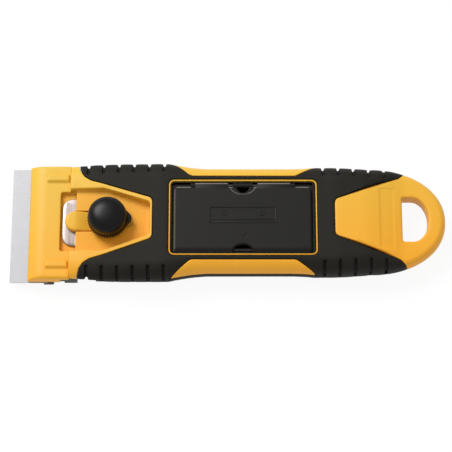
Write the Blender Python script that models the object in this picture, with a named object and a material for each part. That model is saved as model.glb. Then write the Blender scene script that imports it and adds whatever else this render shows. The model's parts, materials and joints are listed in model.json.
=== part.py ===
"""Glass scraper with a retractable 60 mm blade and a spare blade compartment in its handle.

Metres, +Z up, lying on its back: -X is the blade, +X the hanging loop, +Y the side of the lid's hinge.
The origin is on the surface that the scraper lies on, at the middle of its length and width.
"""

import math

import bmesh
import bpy
from mathutils import Matrix, Vector

# Fits
GAP = 0.0003  # running gap between neighbouring pieces
OVERRUN = 0.010  # how far a cut runs past the piece that it cuts
ARC_STEPS = 4  # straight runs in a rounded corner
ROUND_STEPS = 16  # straight runs round a turned piece
SMALL_ROUND_STEPS = 12

# Blade
BLADE_WIDTH = 0.060
BLADE_DEPTH = 0.0190
BLADE_THICKNESS = 0.0005
BLADE_EDGE_X = -0.1094
BLADE_REAR_X = BLADE_EDGE_X + BLADE_DEPTH
BLADE_GRIND = 0.0016
BLADE_LAND = 0.0001
BLADE_HOLE_RADIUS = 0.0022
BLADE_HOLE_Y = 0.0175
BLADE_HOLE_BACK = 0.0040
BLADE_HOLE_X = BLADE_REAR_X - BLADE_HOLE_BACK

# Heights that the pieces stack up from
CARRIAGE_BOTTOM = 0.0012
CARRIAGE_THICKNESS = 0.00245
CARRIAGE_TOP = CARRIAGE_BOTTOM + CARRIAGE_THICKNESS
BLADE_BOTTOM = CARRIAGE_TOP + GAP
BLADE_TOP = BLADE_BOTTOM + BLADE_THICKNESS
DECK_BOTTOM = BLADE_TOP + GAP
DECK_THICKNESS = 0.0038
DECK_TOP = DECK_BOTTOM + DECK_THICKNESS
PLATE_THICKNESS = 0.0010
PLATE_BOTTOM = DECK_TOP + GAP
PLATE_TOP = PLATE_BOTTOM + PLATE_THICKNESS
SHELL_BASE = PLATE_TOP + GAP
SPLIT_Z = SHELL_BASE - GAP / 2
LOWER_TOP = SHELL_BASE - GAP

# Handle body
HANDLE_FRONT_X = -0.0791
TIP_X = 0.1094
HANDLE_LENGTH = TIP_X - HANDLE_FRONT_X
GRIP_HALF_WIDTH = 0.03075
WAIST_SHARE = 0.907
WAIST_HALF = GRIP_HALF_WIDTH * WAIST_SHARE
HANDLE_HEIGHT = 0.0198
LOOP_LIFT = 0.0060
SIDE_ROUND = 0.0085
BELLY_ROUND = 0.0070
SKIN = 0.0020
PLAN_STATIONS = 18
TAIL_STATIONS = 8
UPPER_ARC_STEPS = 4
LOWER_ARC_STEPS = 3
# share of the handle's length, share of the grip's half width
PLAN_SHARES = (
    (0.000, 0.955),
    (0.070, 0.988),
    (0.155, 1.000),
    (0.255, 1.000),
    (0.287, 0.965),
    (0.329, 0.925),
    (0.370, WAIST_SHARE),
    (0.580, WAIST_SHARE),
    (0.626, 0.914),
    (0.650, 0.928),
    (0.700, 0.926),
    (0.760, 0.908),
    (0.801, 0.891),
)
# share of the handle's length, share of the handle's height
TOP_SHARES = (
    (0.000, 0.758),
    (0.059, 0.793),
    (0.202, 0.904),
    (0.260, 0.955),
    (0.655, 0.955),
    (0.716, 0.992),
    (0.775, 0.992),
    (0.843, 0.889),
    (0.891, 0.775),
    (1.000, 0.758),
)
# share of the handle's length, share of the loop's lift
BELLY_SHARES = ((0.000, 0.0), (0.737, 0.0), (0.820, 0.45), (0.896, 1.0), (1.000, 1.0))
# share of the handle's length, share of the side rounding
ROUND_SHARES = ((0.000, 1.0), (0.780, 1.0), (0.890, 0.42), (1.000, 0.42))

# Spare blade compartment
FRAME_WALL = 0.00095
FRAME_CORNER = 0.0025
FRAME_EDGE = 0.00839
TRAY_WALL = 0.0012
TRAY_FLOOR = 0.0012
TRAY_BOTTOM = 0.0074
TRAY_FLANGE = 0.0012
TRAY_FLANGE_TOP = 0.0159
TRAY_RIM_TOP = 0.0166
TRAY_WELL_INSET = 0.0026
TRAY_WELL_CORNER = 0.0020
SPARE_COUNT = 3
SPARE_LIFT = GAP
SPARE_END_ROOM = 0.0031
FRAME_FRONT_X = -0.0294
FRAME_REAR_X = FRAME_FRONT_X + BLADE_WIDTH + 2 * (SPARE_END_ROOM + TRAY_WELL_INSET + FRAME_WALL)
FRAME_HALF = WAIST_HALF - FRAME_EDGE

# Lid
COVER_FRONT_ROOM = 0.0025
COVER_REAR_ROOM = 0.0020
COVER_NEAR_ROOM = 0.0015
COVER_FRONT_X = FRAME_FRONT_X + COVER_FRONT_ROOM
COVER_REAR_X = FRAME_REAR_X - COVER_REAR_ROOM
COVER_MIDDLE_X = (COVER_FRONT_X + COVER_REAR_X) / 2
COVER_NEAR_HALF = FRAME_HALF - COVER_NEAR_ROOM
COVER_THICKNESS = 0.0018
COVER_BEVEL = 0.0006
COVER_CORNER = 0.0016
HINGE_ROOM = 0.0025
HINGE_Y = FRAME_HALF - HINGE_ROOM
HINGE_Z = 0.0176
HINGE_SETBACK = 0.0007
COVER_FAR_HALF = HINGE_Y - HINGE_SETBACK
KNUCKLE_RADIUS = 0.00125
KNUCKLE_LENGTH = 0.0163
KNUCKLE_SPREAD = 0.0313
PIN_RADIUS = 0.0005
PIN_FIT = 0.00025
LUG_LENGTH = 0.0020
MIDDLE_LUG_LENGTH = 0.0100
THUMB_NOTCH_HALF = 0.0053
THUMB_NOTCH_DEPTH = 0.0040
SCOOP_HALF = 0.0072
SCOOP_DEPTH = 0.0040
SCOOP_SINK = 0.0007
OVAL_STEPS = 24

# Head
HEAD_SIDE_INSET = GAP
HEAD_FRONT_X = -0.1003
HEAD_HALF = BLADE_WIDTH / 2 - HEAD_SIDE_INSET
HEAD_TOP = 0.0117
HEAD_LIP_TOP = 0.0062
HEAD_BROW_X = -0.0915
HEAD_ROUND = 0.0018
HEAD_ROUND_STEPS = 3
HEAD_CORNER = 0.0014
HEAD_REAR_X = HANDLE_FRONT_X - GAP
NOSE_ARC_STEPS = 6
WINDOW_FRONT_X = -0.0849
DECK_REAR_X = -0.0370
DECK_LAP = 0.0030
CHEEK_REAR_X = -0.0663
BUMP_X = -0.0856
BUMP_INSET = 0.0071
BUMP_Y = HEAD_HALF - BUMP_INSET
BUMP_LENGTH = 0.0116
BUMP_WIDTH = 0.0050
BUMP_HEIGHT = 0.0011
BUMP_DRAW_SHARE = 0.85
BUMP_CORNER_SHARE = 0.8

# Carriage under the blade
BLADE_TRAVEL = HEAD_FRONT_X - BLADE_EDGE_X
CARRIAGE_FRONT_X = -0.0993
CARRIAGE_INSET = 0.0014
CARRIAGE_HALF = HEAD_HALF - CARRIAGE_INSET
CARRIAGE_WEDGE = 0.0065
CARRIAGE_LIP = 0.0007
CARRIAGE_WIDE_REAR_X = -0.0756
CARRIAGE_TAIL_HALF = 0.0097
CARRIAGE_TAIL_X = -0.0470
FOOT_FRONT_X = -0.0928
FOOT_REAR_X = -0.0872
FOOT_REACH = 0.0016
FOOT_HALF = CARRIAGE_HALF + FOOT_REACH
FOOT_DROP = 0.0005
CARRIAGE_CORNER = 0.0018
BLOCK_FRONT_X = -0.0820
BLOCK_LENGTH = 0.00641
BLOCK_REAR_X = BLOCK_FRONT_X + BLOCK_LENGTH
BLOCK_REACH = 0.0007
BLOCK_WIDTH = 0.0047
BLOCK_HALF = CARRIAGE_HALF + BLOCK_REACH
BLOCK_INNER = BLOCK_HALF - BLOCK_WIDTH
BLOCK_TOP = 0.0083
NOTCH_FRONT_X = -0.0838
NOTCH_ROOM = 0.0005
NOTCH_HALF = BLOCK_INNER - NOTCH_ROOM

# Knob and what it clamps
KNOB_X = -0.0600
STUD_RADIUS = 0.0025
STUD_SINK = 0.0052
INSERT_RADIUS = 0.0036
INSERT_FLANGE_RADIUS = 0.0050
INSERT_FLANGE = 0.0008
PLATE_FRONT_X = -0.0842
PLATE_REAR_X = -0.0470
PLATE_INSET = 0.0173
PLATE_HALF = HEAD_HALF - PLATE_INSET
PLATE_CORNER = 0.0050
PLATE_SIDE_ROOM = 0.0032
WINDOW_HALF = PLATE_HALF + PLATE_SIDE_ROOM
DECK_TAIL_RIM = 0.0012
DECK_TAIL_HALF = PLATE_HALF + DECK_TAIL_RIM
NOSE_FRONT_X = -0.0817
NOSE_HALF = 0.0052
NOSE_BEND_X = -0.0690
NOSE_WALL = 0.0014
NOSE_REAR_HALF = STUD_RADIUS + GAP + NOSE_WALL
NOSE_REAR_X = KNOB_X + NOSE_REAR_HALF
NOSE_TOP = 0.0136
NOSE_FOOT = 0.0006
NOSE_FOOT_LAP = 0.0011
NOSE_FOOT_HALF = NOSE_REAR_HALF + GAP + NOSE_FOOT_LAP
NOSE_FOOT_REAR_X = NOSE_REAR_X + BLADE_TRAVEL + GAP + NOSE_FOOT_LAP
NOSE_ROUND = 0.0008
NOSE_ROUND_STEPS = 2
WASHER_THICKNESS = 0.0008
WASHER_RADIUS = 0.0052
SKIRT_RADIUS = 0.0102
SKIRT_HEIGHT = 0.0036
KNURL_DEPTH = 0.0005
KNURL_COUNT = 28
DOME_RADIUS = 0.0091
DOME_HEIGHT = 0.0072
DOME_CROWN = 0.0009
DOME_ROUND = 0.0030
DOME_ROUND_STEPS = 4
# share of the crown's flat radius, share of its rise
CROWN_SHARES = ((0.66, 0.56), (0.33, 0.89), (0.08, 1.0))
NUB_REACH = 0.0113
NUB_HALF = 0.0030

# Knob recess in the upper shell
RECESS_FLOOR_Z = 0.0122
KNOB_SIDE_ROOM = 0.0061
RECESS_HALF = SKIRT_RADIUS + KNOB_SIDE_ROOM
RECESS_FRONT_X = -0.0763
RECESS_BEND_X = -0.0620
RECESS_REAR_X = -0.0390
RECESS_REAR_HALF = 0.0086
RECESS_CORNER = 0.0020

# Yellow fields in the black skin, as half outlines
FIELD_CORNER = 0.0030
FIELD_RIM = 0.0011
FRONT_FIELD_REAR_X = RECESS_REAR_X + FIELD_RIM
FRONT_FIELD_REAR_RIM = 0.0018
FRONT_FIELD_REAR_HALF = RECESS_REAR_HALF + FRONT_FIELD_REAR_RIM
FRONT_FIELD_SIDE_X = -0.0710
FRONT_FIELD_SIDE_RIM = 0.0053
FRONT_FIELD_SIDE_HALF = RECESS_HALF + FRONT_FIELD_SIDE_RIM
FRONT_LOBE_X = -0.0772
FRONT_LOBE_INSET = 0.00455
FRONT_LOBE_HALF = GRIP_HALF_WIDTH - FRONT_LOBE_INSET
REAR_FIELD_ROOM = 0.0088
REAR_FIELD_FRONT_X = FRAME_REAR_X + REAR_FIELD_ROOM
REAR_FIELD_FRONT_HALF = 0.0100
REAR_FIELD_SIDE_X = 0.0852
REAR_FIELD_SIDE_INSET = 0.00955
REAR_FIELD_SIDE_HALF = GRIP_HALF_WIDTH - REAR_FIELD_SIDE_INSET
REAR_LOBE_X = 0.0892
REAR_LOBE_INSET = 0.00555
REAR_LOBE_HALF = GRIP_HALF_WIDTH - REAR_LOBE_INSET
FLASH_DEPTH = 0.00634
FLASH_HALF = WAIST_HALF - FLASH_DEPTH
FLASH_FRONT_ROOM = 0.0108
FLASH_REAR_ROOM = 0.0100
FLASH_FRONT_LEAN = 0.0104
FLASH_REAR_LEAN = 0.0098
FLASH_FRONT_X = FRAME_FRONT_X + FLASH_FRONT_ROOM
FLASH_REAR_X = FRAME_REAR_X - FLASH_REAR_ROOM

# Grooves across the edges of the skin
GROOVE_PITCH = 0.0077
GROOVE_WIDTH = 0.0014
GROOVE_DEPTH = 0.0009
GROOVE_REACH = 0.0064
GROOVE_FLOOR_Z = 0.0035
FRONT_GROOVE_X = -0.0705
FRONT_GROOVES = 6
REAR_GROOVE_X = 0.0480
REAR_GROOVES = 5

# Lower shell
LOWER_FRONT_X = -0.0660
LOWER_REAR_X = 0.0840

# Hanging hole
HOLE_FRONT_X = 0.0869
HOLE_REAR_X = 0.1000
HOLE_HALF = 0.0115
HOLE_STRAIGHT_SHARE = 0.38
HOLE_ARC_STEPS = 10

# Screws
SCREW_RADIUS = 0.0013
SCREW_HEAD_RADIUS = 0.0026
SCREW_HEAD_FLAT = 0.00195
SCREW_HEAD_HEIGHT = 0.0017
SCREW_TIP = 0.0010
DRIVE_WIDTH = 0.0008
DRIVE_LENGTH = 0.0032
DRIVE_DEPTH = 0.0009
HEAD_SCREW_X = -0.0718
HEAD_SCREW_Y = (WINDOW_HALF + NOTCH_HALF) / 2
HEAD_SCREW_LENGTH = 0.0060
HEAD_SCREW_SINK = 0.0004
HEAD_SCREW_SEAT_Z = DECK_BOTTOM + HEAD_SCREW_SINK + SCREW_HEAD_HEIGHT
FRONT_SCREW_ROOM = 0.0040
FRONT_SCREW_INSET = 0.01225
REAR_SCREW_ROOM = 0.0161
REAR_SCREW_INSET = 0.01575
FRONT_SCREW_X = FRAME_FRONT_X - FRONT_SCREW_ROOM
FRONT_SCREW_Y = GRIP_HALF_WIDTH - FRONT_SCREW_INSET
REAR_SCREW_X = FRAME_REAR_X + REAR_SCREW_ROOM
REAR_SCREW_Y = GRIP_HALF_WIDTH - REAR_SCREW_INSET
SHELL_SCREW_SINK = 0.0010
SHELL_SCREW_COVER = 0.0056
SHELL_SCREW_SEAT_Z = SKIN + SHELL_SCREW_SINK + SCREW_HEAD_HEIGHT
SHELL_SCREW_LENGTH = HANDLE_HEIGHT - SHELL_SCREW_COVER - SHELL_SCREW_SEAT_Z

YELLOW = (0.90, 0.43, 0.045)
SOFT_BLACK = (0.030, 0.029, 0.030)
HARD_BLACK = (0.014, 0.013, 0.014)
BLADE_STEEL = (0.66, 0.65, 0.68)
PLATE_STEEL = (0.70, 0.68, 0.66)
ZINC = (0.52, 0.52, 0.50)
BRASS = (0.66, 0.45, 0.16)


# Meshes from points and faces


def new_object(name, mesh):
    """Link a mesh into the scene as an object."""
    thing = bpy.data.objects.new(name, mesh)
    bpy.context.scene.collection.objects.link(thing)
    return thing


def from_rings(name, rings, caps=None):
    """Skin closed rings of equal length one to the next and cap both ends.

    Where the caps are given face by face the sides may twist, so every face is split into triangles.
    """
    build = bmesh.new()
    rows = [[build.verts.new(point) for point in ring] for ring in rings]
    count = len(rows[0])
    for low, high in zip(rows, rows[1:]):
        for i in range(count):
            j = (i + 1) % count
            build.faces.new((low[i], low[j], high[j], high[i]))
    for row in (rows[0], rows[-1]):
        if caps is None:
            build.faces.new(row)
        else:
            for face in caps:
                build.faces.new([row[i] for i in face])
    if caps is not None:
        bmesh.ops.triangulate(build, faces=build.faces)
    bmesh.ops.recalc_face_normals(build, faces=build.faces)
    mesh = bpy.data.meshes.new(name)
    build.to_mesh(mesh)
    build.free()
    return new_object(name, mesh)


def prism(name, outline, low, high):
    """Raise a plan outline from one height to another."""
    return from_rings(name, [[(x, y, z) for x, y in outline] for z in (low, high)])


def side_prism(name, profile, half):
    """Push an outline drawn in X and Z out to both sides of the middle plane."""
    return from_rings(name, [[(x, y, z) for x, z in profile] for y in (-half, half)])


def block(name, low, high):
    """A box between two corners."""
    outline = ((low[0], low[1]), (high[0], low[1]), (high[0], high[1]), (low[0], high[1]))
    return prism(name, outline, low[2], high[2])


def turned(name, profile, steps=ROUND_STEPS):
    """Turn a profile of radius and height about Z, from its bottom to its top."""
    rings = []
    for radius, z in profile:
        turn = [2 * math.pi * i / steps for i in range(steps)]
        rings.append([(radius * math.cos(a), radius * math.sin(a), z) for a in turn])
    return from_rings(name, rings)


def rod_along_x(name, radius, start, end, y, z, steps=ROUND_STEPS):
    """A round bar along X."""
    turn = [2 * math.pi * i / steps for i in range(steps)]
    section = [(y + radius * math.cos(a), z + radius * math.sin(a)) for a in turn]
    return from_rings(name, [[(x, p, q) for p, q in section] for x in (start, end)])


def combine(target, other, operation):
    """Apply one Boolean and drop the second shape."""
    modifier = target.modifiers.new(operation, "BOOLEAN")
    modifier.operation = operation
    modifier.solver = "EXACT"
    modifier.object = other
    graph = bpy.context.evaluated_depsgraph_get()
    mesh = bpy.data.meshes.new_from_object(target.evaluated_get(graph))
    target.modifiers.clear()
    target.data = mesh
    bpy.data.objects.remove(other)
    return target


def cut(target, *others):
    for other in others:
        combine(target, other, "DIFFERENCE")
    return target


def join(target, *others):
    for other in others:
        combine(target, other, "UNION")
    return target


def moved(thing, x, y, z):
    """Shift the mesh itself, so that the object stays at the origin."""
    thing.data.transform(Matrix.Translation((x, y, z)))
    return thing


def gathered(name, things):
    """Put shapes that do not touch into one mesh, to cut with them at once."""
    build = bmesh.new()
    for thing in things:
        build.from_mesh(thing.data)
        bpy.data.objects.remove(thing)
    mesh = bpy.data.meshes.new(name)
    build.to_mesh(mesh)
    build.free()
    return new_object(name, mesh)


def bevelled(thing, width, segments=2, limit=math.radians(50)):
    """Round the sharp edges of a shape."""
    modifier = thing.modifiers.new("Bevel", "BEVEL")
    modifier.width = width
    modifier.segments = segments
    modifier.limit_method = "ANGLE"
    modifier.angle_limit = limit
    graph = bpy.context.evaluated_depsgraph_get()
    mesh = bpy.data.meshes.new_from_object(thing.evaluated_get(graph))
    thing.modifiers.clear()
    thing.data = mesh
    return thing


# Outlines


def mirrored(half):
    """Close a half outline, given on the +Y side, with its mirror image."""
    return list(half) + [(x, -y) for x, y in reversed(half)]


def filleted(outline, radius, steps=ARC_STEPS):
    """Round every corner of an outline, as far as its shorter side allows."""
    found = []
    count = len(outline)
    for i in range(count):
        corner = Vector(outline[i])
        before = Vector(outline[i - 1]) - corner
        after = Vector(outline[(i + 1) % count]) - corner
        opening = before.angle(after)
        reach = radius / math.tan(opening / 2)
        reach = min(reach, before.length / 2, after.length / 2)
        start = corner + before.normalized() * reach
        end = corner + after.normalized() * reach
        if opening > math.radians(172):
            found.append(tuple(corner))
            continue
        for k in range(steps + 1):
            t = k / steps
            point = (1 - t) ** 2 * start + 2 * t * (1 - t) * corner + t**2 * end
            found.append(tuple(point))
    return found


def rectangle(front, rear, near, far):
    return [(front, near), (rear, near), (rear, far), (front, far)]


def grown(outline, by):
    """Move every side of an outline outwards by the same distance."""
    count = len(outline)
    area = sum(
        outline[i - 1][0] * outline[i][1] - outline[i][0] * outline[i - 1][1] for i in range(count)
    )
    turn = 1 if area > 0 else -1
    found = []
    for i in range(count):
        here = Vector(outline[i])
        before = (here - Vector(outline[i - 1])).normalized()
        after = (Vector(outline[(i + 1) % count]) - here).normalized()
        first = Vector((before.y, -before.x)) * turn
        second = Vector((after.y, -after.x)) * turn
        bisector = (first + second).normalized()
        found.append(tuple(here + bisector * by / max(bisector.dot(first), 0.5)))
    return found


def eased(table, share):
    """Read a table of shares as a smooth curve that never overshoots its points."""
    if share <= table[0][0]:
        return table[0][1]
    if share >= table[-1][0]:
        return table[-1][1]
    slopes = [(b[1] - a[1]) / (b[0] - a[0]) for a, b in zip(table, table[1:])]
    tangents = [slopes[0]]
    for left, right in zip(slopes, slopes[1:]):
        same_way = left * right > 0
        tangents.append(2 * left * right / (left + right) if same_way else 0.0)
    tangents.append(slopes[-1])
    i = max(k for k, point in enumerate(table) if point[0] <= share)
    run = table[i + 1][0] - table[i][0]
    t = (share - table[i][0]) / run
    low, high = table[i][1], table[i + 1][1]
    rise = low * (1 + 2 * t) * (1 - t) ** 2 + high * t**2 * (3 - 2 * t)
    return rise + run * t * (1 - t) * ((1 - t) * tangents[i] - t * tangents[i + 1])


# The handle's body


def handle_share(x):
    return (x - HANDLE_FRONT_X) / HANDLE_LENGTH


def top_at(x):
    return HANDLE_HEIGHT * eased(TOP_SHARES, handle_share(x))


def belly_at(x):
    return LOOP_LIFT * eased(BELLY_SHARES, handle_share(x))


def side_round_at(x):
    return eased(ROUND_SHARES, handle_share(x))


def half_width_at(x):
    """Half width of the handle in front of its elliptical tail."""
    return GRIP_HALF_WIDTH * eased(PLAN_SHARES, handle_share(x))


def plan_curve():
    """Points and outward normals along the +Y side, from past the front end to the tip."""
    tail_x = HANDLE_FRONT_X + HANDLE_LENGTH * PLAN_SHARES[-1][0]
    tail_half = half_width_at(tail_x)
    points = []
    start = HANDLE_FRONT_X - OVERRUN
    for i in range(PLAN_STATIONS):
        x = start + (tail_x - start) * i / PLAN_STATIONS
        points.append(Vector((x, half_width_at(x))))
    for i in range(TAIL_STATIONS + 1):
        a = math.pi / 2 * (1 - i / TAIL_STATIONS)
        reach = (TIP_X - tail_x) * math.cos(a)
        points.append(Vector((tail_x + reach, tail_half * math.sin(a))))
    points[-1].y = 0
    normals = []
    for i, point in enumerate(points):
        before = points[max(i - 1, 0)]
        after = points[i + 1] if i + 1 < len(points) else Vector((before.x, -before.y))
        run = (after - before).normalized()
        normals.append(Vector((-run.y, run.x)))
    normals[0] = Vector((0, 1))
    normals[-1] = Vector((1, 0))
    return points, normals


def pebble(name, inset):
    """The handle's rounded body, drawn in by one distance all round."""
    points, normals = plan_curve()
    levels = []
    for k in range(LOWER_ARC_STEPS, 0, -1):
        levels.append((-math.sin(math.pi / 2 * k / LOWER_ARC_STEPS), k / LOWER_ARC_STEPS))
    for k in range(UPPER_ARC_STEPS + 1):
        levels.append((math.sin(math.pi / 2 * k / UPPER_ARC_STEPS), k / UPPER_ARC_STEPS))
    rings = []
    for height, turn in levels:
        side = SIDE_ROUND if height >= 0 else BELLY_ROUND
        half = []
        for point, normal in zip(points, normals):
            draw = (side - inset / 2) * side_round_at(point.x) * (1 - math.cos(math.pi / 2 * turn))
            place = point - normal * (inset + draw)
            place.x = max(place.x, HANDLE_FRONT_X - OVERRUN + inset)
            if height >= 0:
                z = SPLIT_Z + (top_at(place.x) - inset - SPLIT_Z) * height
            else:
                z = SPLIT_Z + (SPLIT_Z - belly_at(place.x) - inset) * height
            half.append((place.x, place.y, z))
        half[-1] = (half[-1][0], 0, half[-1][2])
        rings.append(half + [(x, -y, z) for x, y, z in reversed(half[:-1])])
    count = len(points)
    total = len(rings[0])
    caps = [(i, i + 1, total - 2 - i, total - 1 - i) for i in range(count - 2)]
    caps.append((count - 2, count - 1, count))
    return from_rings(name, rings, caps)


def front_field():
    """Yellow trapezoid round the knob, as a closed plan outline."""
    edge = GRIP_HALF_WIDTH + 2 * OVERRUN
    half = [
        (FRONT_FIELD_REAR_X, FRONT_FIELD_REAR_HALF),
        (FRONT_FIELD_SIDE_X, FRONT_FIELD_SIDE_HALF),
        (FRONT_LOBE_X, FRONT_LOBE_HALF),
        (FRONT_LOBE_X, edge),
        (HANDLE_FRONT_X - 2 * OVERRUN, edge),
    ]
    return filleted(mirrored(half[::-1]), FIELD_CORNER)


def rear_field():
    """Yellow trapezoid in front of the loop, with the loop itself."""
    edge = GRIP_HALF_WIDTH + 2 * OVERRUN
    half = [
        (REAR_FIELD_FRONT_X, REAR_FIELD_FRONT_HALF),
        (REAR_FIELD_SIDE_X, REAR_FIELD_SIDE_HALF),
        (REAR_LOBE_X, REAR_LOBE_HALF),
        (REAR_LOBE_X, edge),
        (TIP_X + OVERRUN, edge),
    ]
    return filleted(mirrored(half[::-1]), FIELD_CORNER)


def flash(side):
    """Yellow flash on one side of the waist."""
    edge = GRIP_HALF_WIDTH + 2 * OVERRUN
    run = (edge - FLASH_HALF) / FLASH_DEPTH
    outline = [
        (FLASH_FRONT_X, FLASH_HALF * side),
        (FLASH_REAR_X, FLASH_HALF * side),
        (FLASH_REAR_X + FLASH_REAR_LEAN * run, edge * side),
        (FLASH_FRONT_X - FLASH_FRONT_LEAN * run, edge * side),
    ]
    return outline[::side]


def frame_outline():
    return filleted(rectangle(FRAME_FRONT_X, FRAME_REAR_X, -FRAME_HALF, FRAME_HALF), FRAME_CORNER)


def field_prisms(by, upper):
    """The yellow fields as upright prisms, each grown by a gap where the skin is cut for them."""
    low, high = (SPLIT_Z - OVERRUN, HANDLE_HEIGHT + OVERRUN) if upper else (-OVERRUN, SPLIT_Z + OVERRUN)
    outlines = [rear_field()]
    if upper:
        outlines += [front_field(), flash(1), flash(-1), frame_outline()]
    return [prism("field", grown(outline, by), low, high) for outline in outlines]


def skin_mould(upper):
    """Everything round the hard core except the yellow fields, which leaves room for the skin."""
    edge = GRIP_HALF_WIDTH + OVERRUN
    low, high = -SKIN, HANDLE_HEIGHT + SKIN
    mould = block("mould", (HANDLE_FRONT_X - SKIN, -edge, low), (TIP_X + SKIN, edge, high))
    cut(mould, pebble("core", SKIN + GAP))
    return cut(mould, *field_prisms(0, upper))


def between(low, high, front=HANDLE_FRONT_X - 2 * OVERRUN, rear=TIP_X + OVERRUN):
    """A slab across the whole width, from one height to another."""
    edge = GRIP_HALF_WIDTH + 2 * OVERRUN
    return block("slab", (front, -edge, low), (rear, edge, high))


# Cuts that several pieces share


def hole_outline():
    """The hanging hole: a straight front side and a bowed rear side."""
    straight = (HOLE_REAR_X - HOLE_FRONT_X) * HOLE_STRAIGHT_SHARE
    bow = HOLE_REAR_X - HOLE_FRONT_X - straight
    arc = []
    for i in range(HOLE_ARC_STEPS + 1):
        a = math.pi / 2 * (1 - 2 * i / HOLE_ARC_STEPS)
        arc.append((HOLE_FRONT_X + straight + bow * math.cos(a), HOLE_HALF * math.sin(a)))
    return [(HOLE_FRONT_X, HOLE_HALF)] + arc + [(HOLE_FRONT_X, -HOLE_HALF)]


def recess_outline():
    half = [
        (RECESS_FRONT_X - OVERRUN, RECESS_HALF),
        (RECESS_BEND_X, RECESS_HALF),
        (RECESS_REAR_X, RECESS_REAR_HALF),
    ]
    return filleted(mirrored(half), RECESS_CORNER)


def end_arc(x, radius, side):
    """Half circle about (x, 0), bulging toward side."""
    steps = 2 * ARC_STEPS
    turns = [math.pi * (i / steps - 0.5) for i in range(steps + 1)]
    return [(x + side * radius * math.cos(a), side * radius * math.sin(a)) for a in turns]


def slot(half, front, rear, low, high):
    """A round-ended slot along X."""
    return prism("slot", end_arc(rear - half, half, 1) + end_arc(front + half, half, -1), low, high)


def tongue_outline(front, bend, rear, by=0):
    """Round-ended outline that narrows from its bend to its rear, offset outward by a distance."""
    half, rear_half = NOSE_HALF + by, NOSE_REAR_HALF + by
    outline = end_arc(rear - NOSE_REAR_HALF, rear_half, 1) + [(bend + by, half)]
    return outline + end_arc(front + NOSE_HALF, half, -1) + [(bend + by, -half)]


def bore(x, y, radius, low, high, steps=ROUND_STEPS):
    return moved(turned("bore", ((radius, low), (radius, high)), steps), x, y, 0)


def head_screw_places():
    return [(HEAD_SCREW_X, side * HEAD_SCREW_Y) for side in (1, -1)]


def shell_screw_places():
    places = ((FRONT_SCREW_X, FRONT_SCREW_Y), (REAR_SCREW_X, REAR_SCREW_Y))
    return [(x, side * y) for x, y in places for side in (1, -1)]


def pocket_outline(by):
    """Plan of the compartment's pocket, grown by a distance."""
    front, rear, half = FRAME_FRONT_X + FRAME_WALL, FRAME_REAR_X - FRAME_WALL, FRAME_HALF - FRAME_WALL
    return grown(filleted(rectangle(front, rear, -half, half), FRAME_CORNER - FRAME_WALL), by)


def well_outline(by):
    """Plan of the tray's well, grown by a distance."""
    front = FRAME_FRONT_X + FRAME_WALL + TRAY_WELL_INSET
    rear = FRAME_REAR_X - FRAME_WALL - TRAY_WELL_INSET
    half = FRAME_HALF - FRAME_WALL - TRAY_WELL_INSET
    return grown(filleted(rectangle(front, rear, -half, half), TRAY_WELL_CORNER), by)


# Shells and skins


def make_upper_shell():
    above = HANDLE_HEIGHT + OVERRUN
    body = cut(pebble("upper_shell", 0), skin_mould(True))
    cut(body, between(-OVERRUN, SHELL_BASE, rear=LOWER_REAR_X + GAP))
    cut(body, between(-OVERRUN, above, rear=HANDLE_FRONT_X))
    cut_knob_recess(body)
    cut(body, prism("pocket", pocket_outline(0), TRAY_FLANGE_TOP - TRAY_FLANGE - GAP, above))
    cut(body, prism("well", well_outline(TRAY_WALL + GAP), 0, above))
    cut(body, prism("hole", hole_outline(), -OVERRUN, above))
    for x, y in head_screw_places():
        tip = HEAD_SCREW_SEAT_Z + HEAD_SCREW_LENGTH + GAP
        cut(body, bore(x, y, SCREW_RADIUS + GAP, 0, tip))
    for x, y in shell_screw_places():
        tip = SHELL_SCREW_SEAT_Z + SHELL_SCREW_LENGTH + GAP
        cut(body, bore(x, y, SCREW_RADIUS + GAP, 0, tip))
    return body


def cut_knob_recess(body):
    """The recess round the knob, its open front, the slot that the tongue slides in and room for its foot."""
    above = HANDLE_HEIGHT + OVERRUN
    cut(body, prism("recess", recess_outline(), RECESS_FLOOR_Z, above))
    front = HANDLE_FRONT_X - OVERRUN
    cut(body, block("opening", (front, -RECESS_HALF, 0), (RECESS_FRONT_X, RECESS_HALF, above)))
    outline = tongue_outline(front, NOSE_BEND_X + BLADE_TRAVEL, NOSE_REAR_X + BLADE_TRAVEL, GAP)
    cut(body, prism("slot", outline, 0, above))
    half, rear = NOSE_FOOT_HALF + GAP, NOSE_FOOT_REAR_X + BLADE_TRAVEL + GAP
    cut(body, block("foot", (KNOB_X - GAP, -half, 0), (rear, half, SHELL_BASE + NOSE_FOOT + GAP)))


def make_lower_shell():
    body = cut(pebble("lower_shell", 0), skin_mould(False))
    cut(body, between(LOWER_TOP, HANDLE_HEIGHT + OVERRUN))
    cut(body, between(-OVERRUN, HANDLE_HEIGHT, rear=LOWER_FRONT_X))
    cut(body, between(-OVERRUN, HANDLE_HEIGHT, front=LOWER_REAR_X))
    cut_mechanism_channel(body)
    cut(body, prism("well", well_outline(TRAY_WALL + GAP), TRAY_BOTTOM - GAP, HANDLE_HEIGHT))
    for x, y in shell_screw_places():
        seat = SHELL_SCREW_SEAT_Z + GAP
        cut(body, bore(x, y, SCREW_HEAD_RADIUS + GAP, -OVERRUN, seat))
        cut(body, bore(x, y, SCREW_RADIUS + GAP, -OVERRUN, HANDLE_HEIGHT))
    return body


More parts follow.
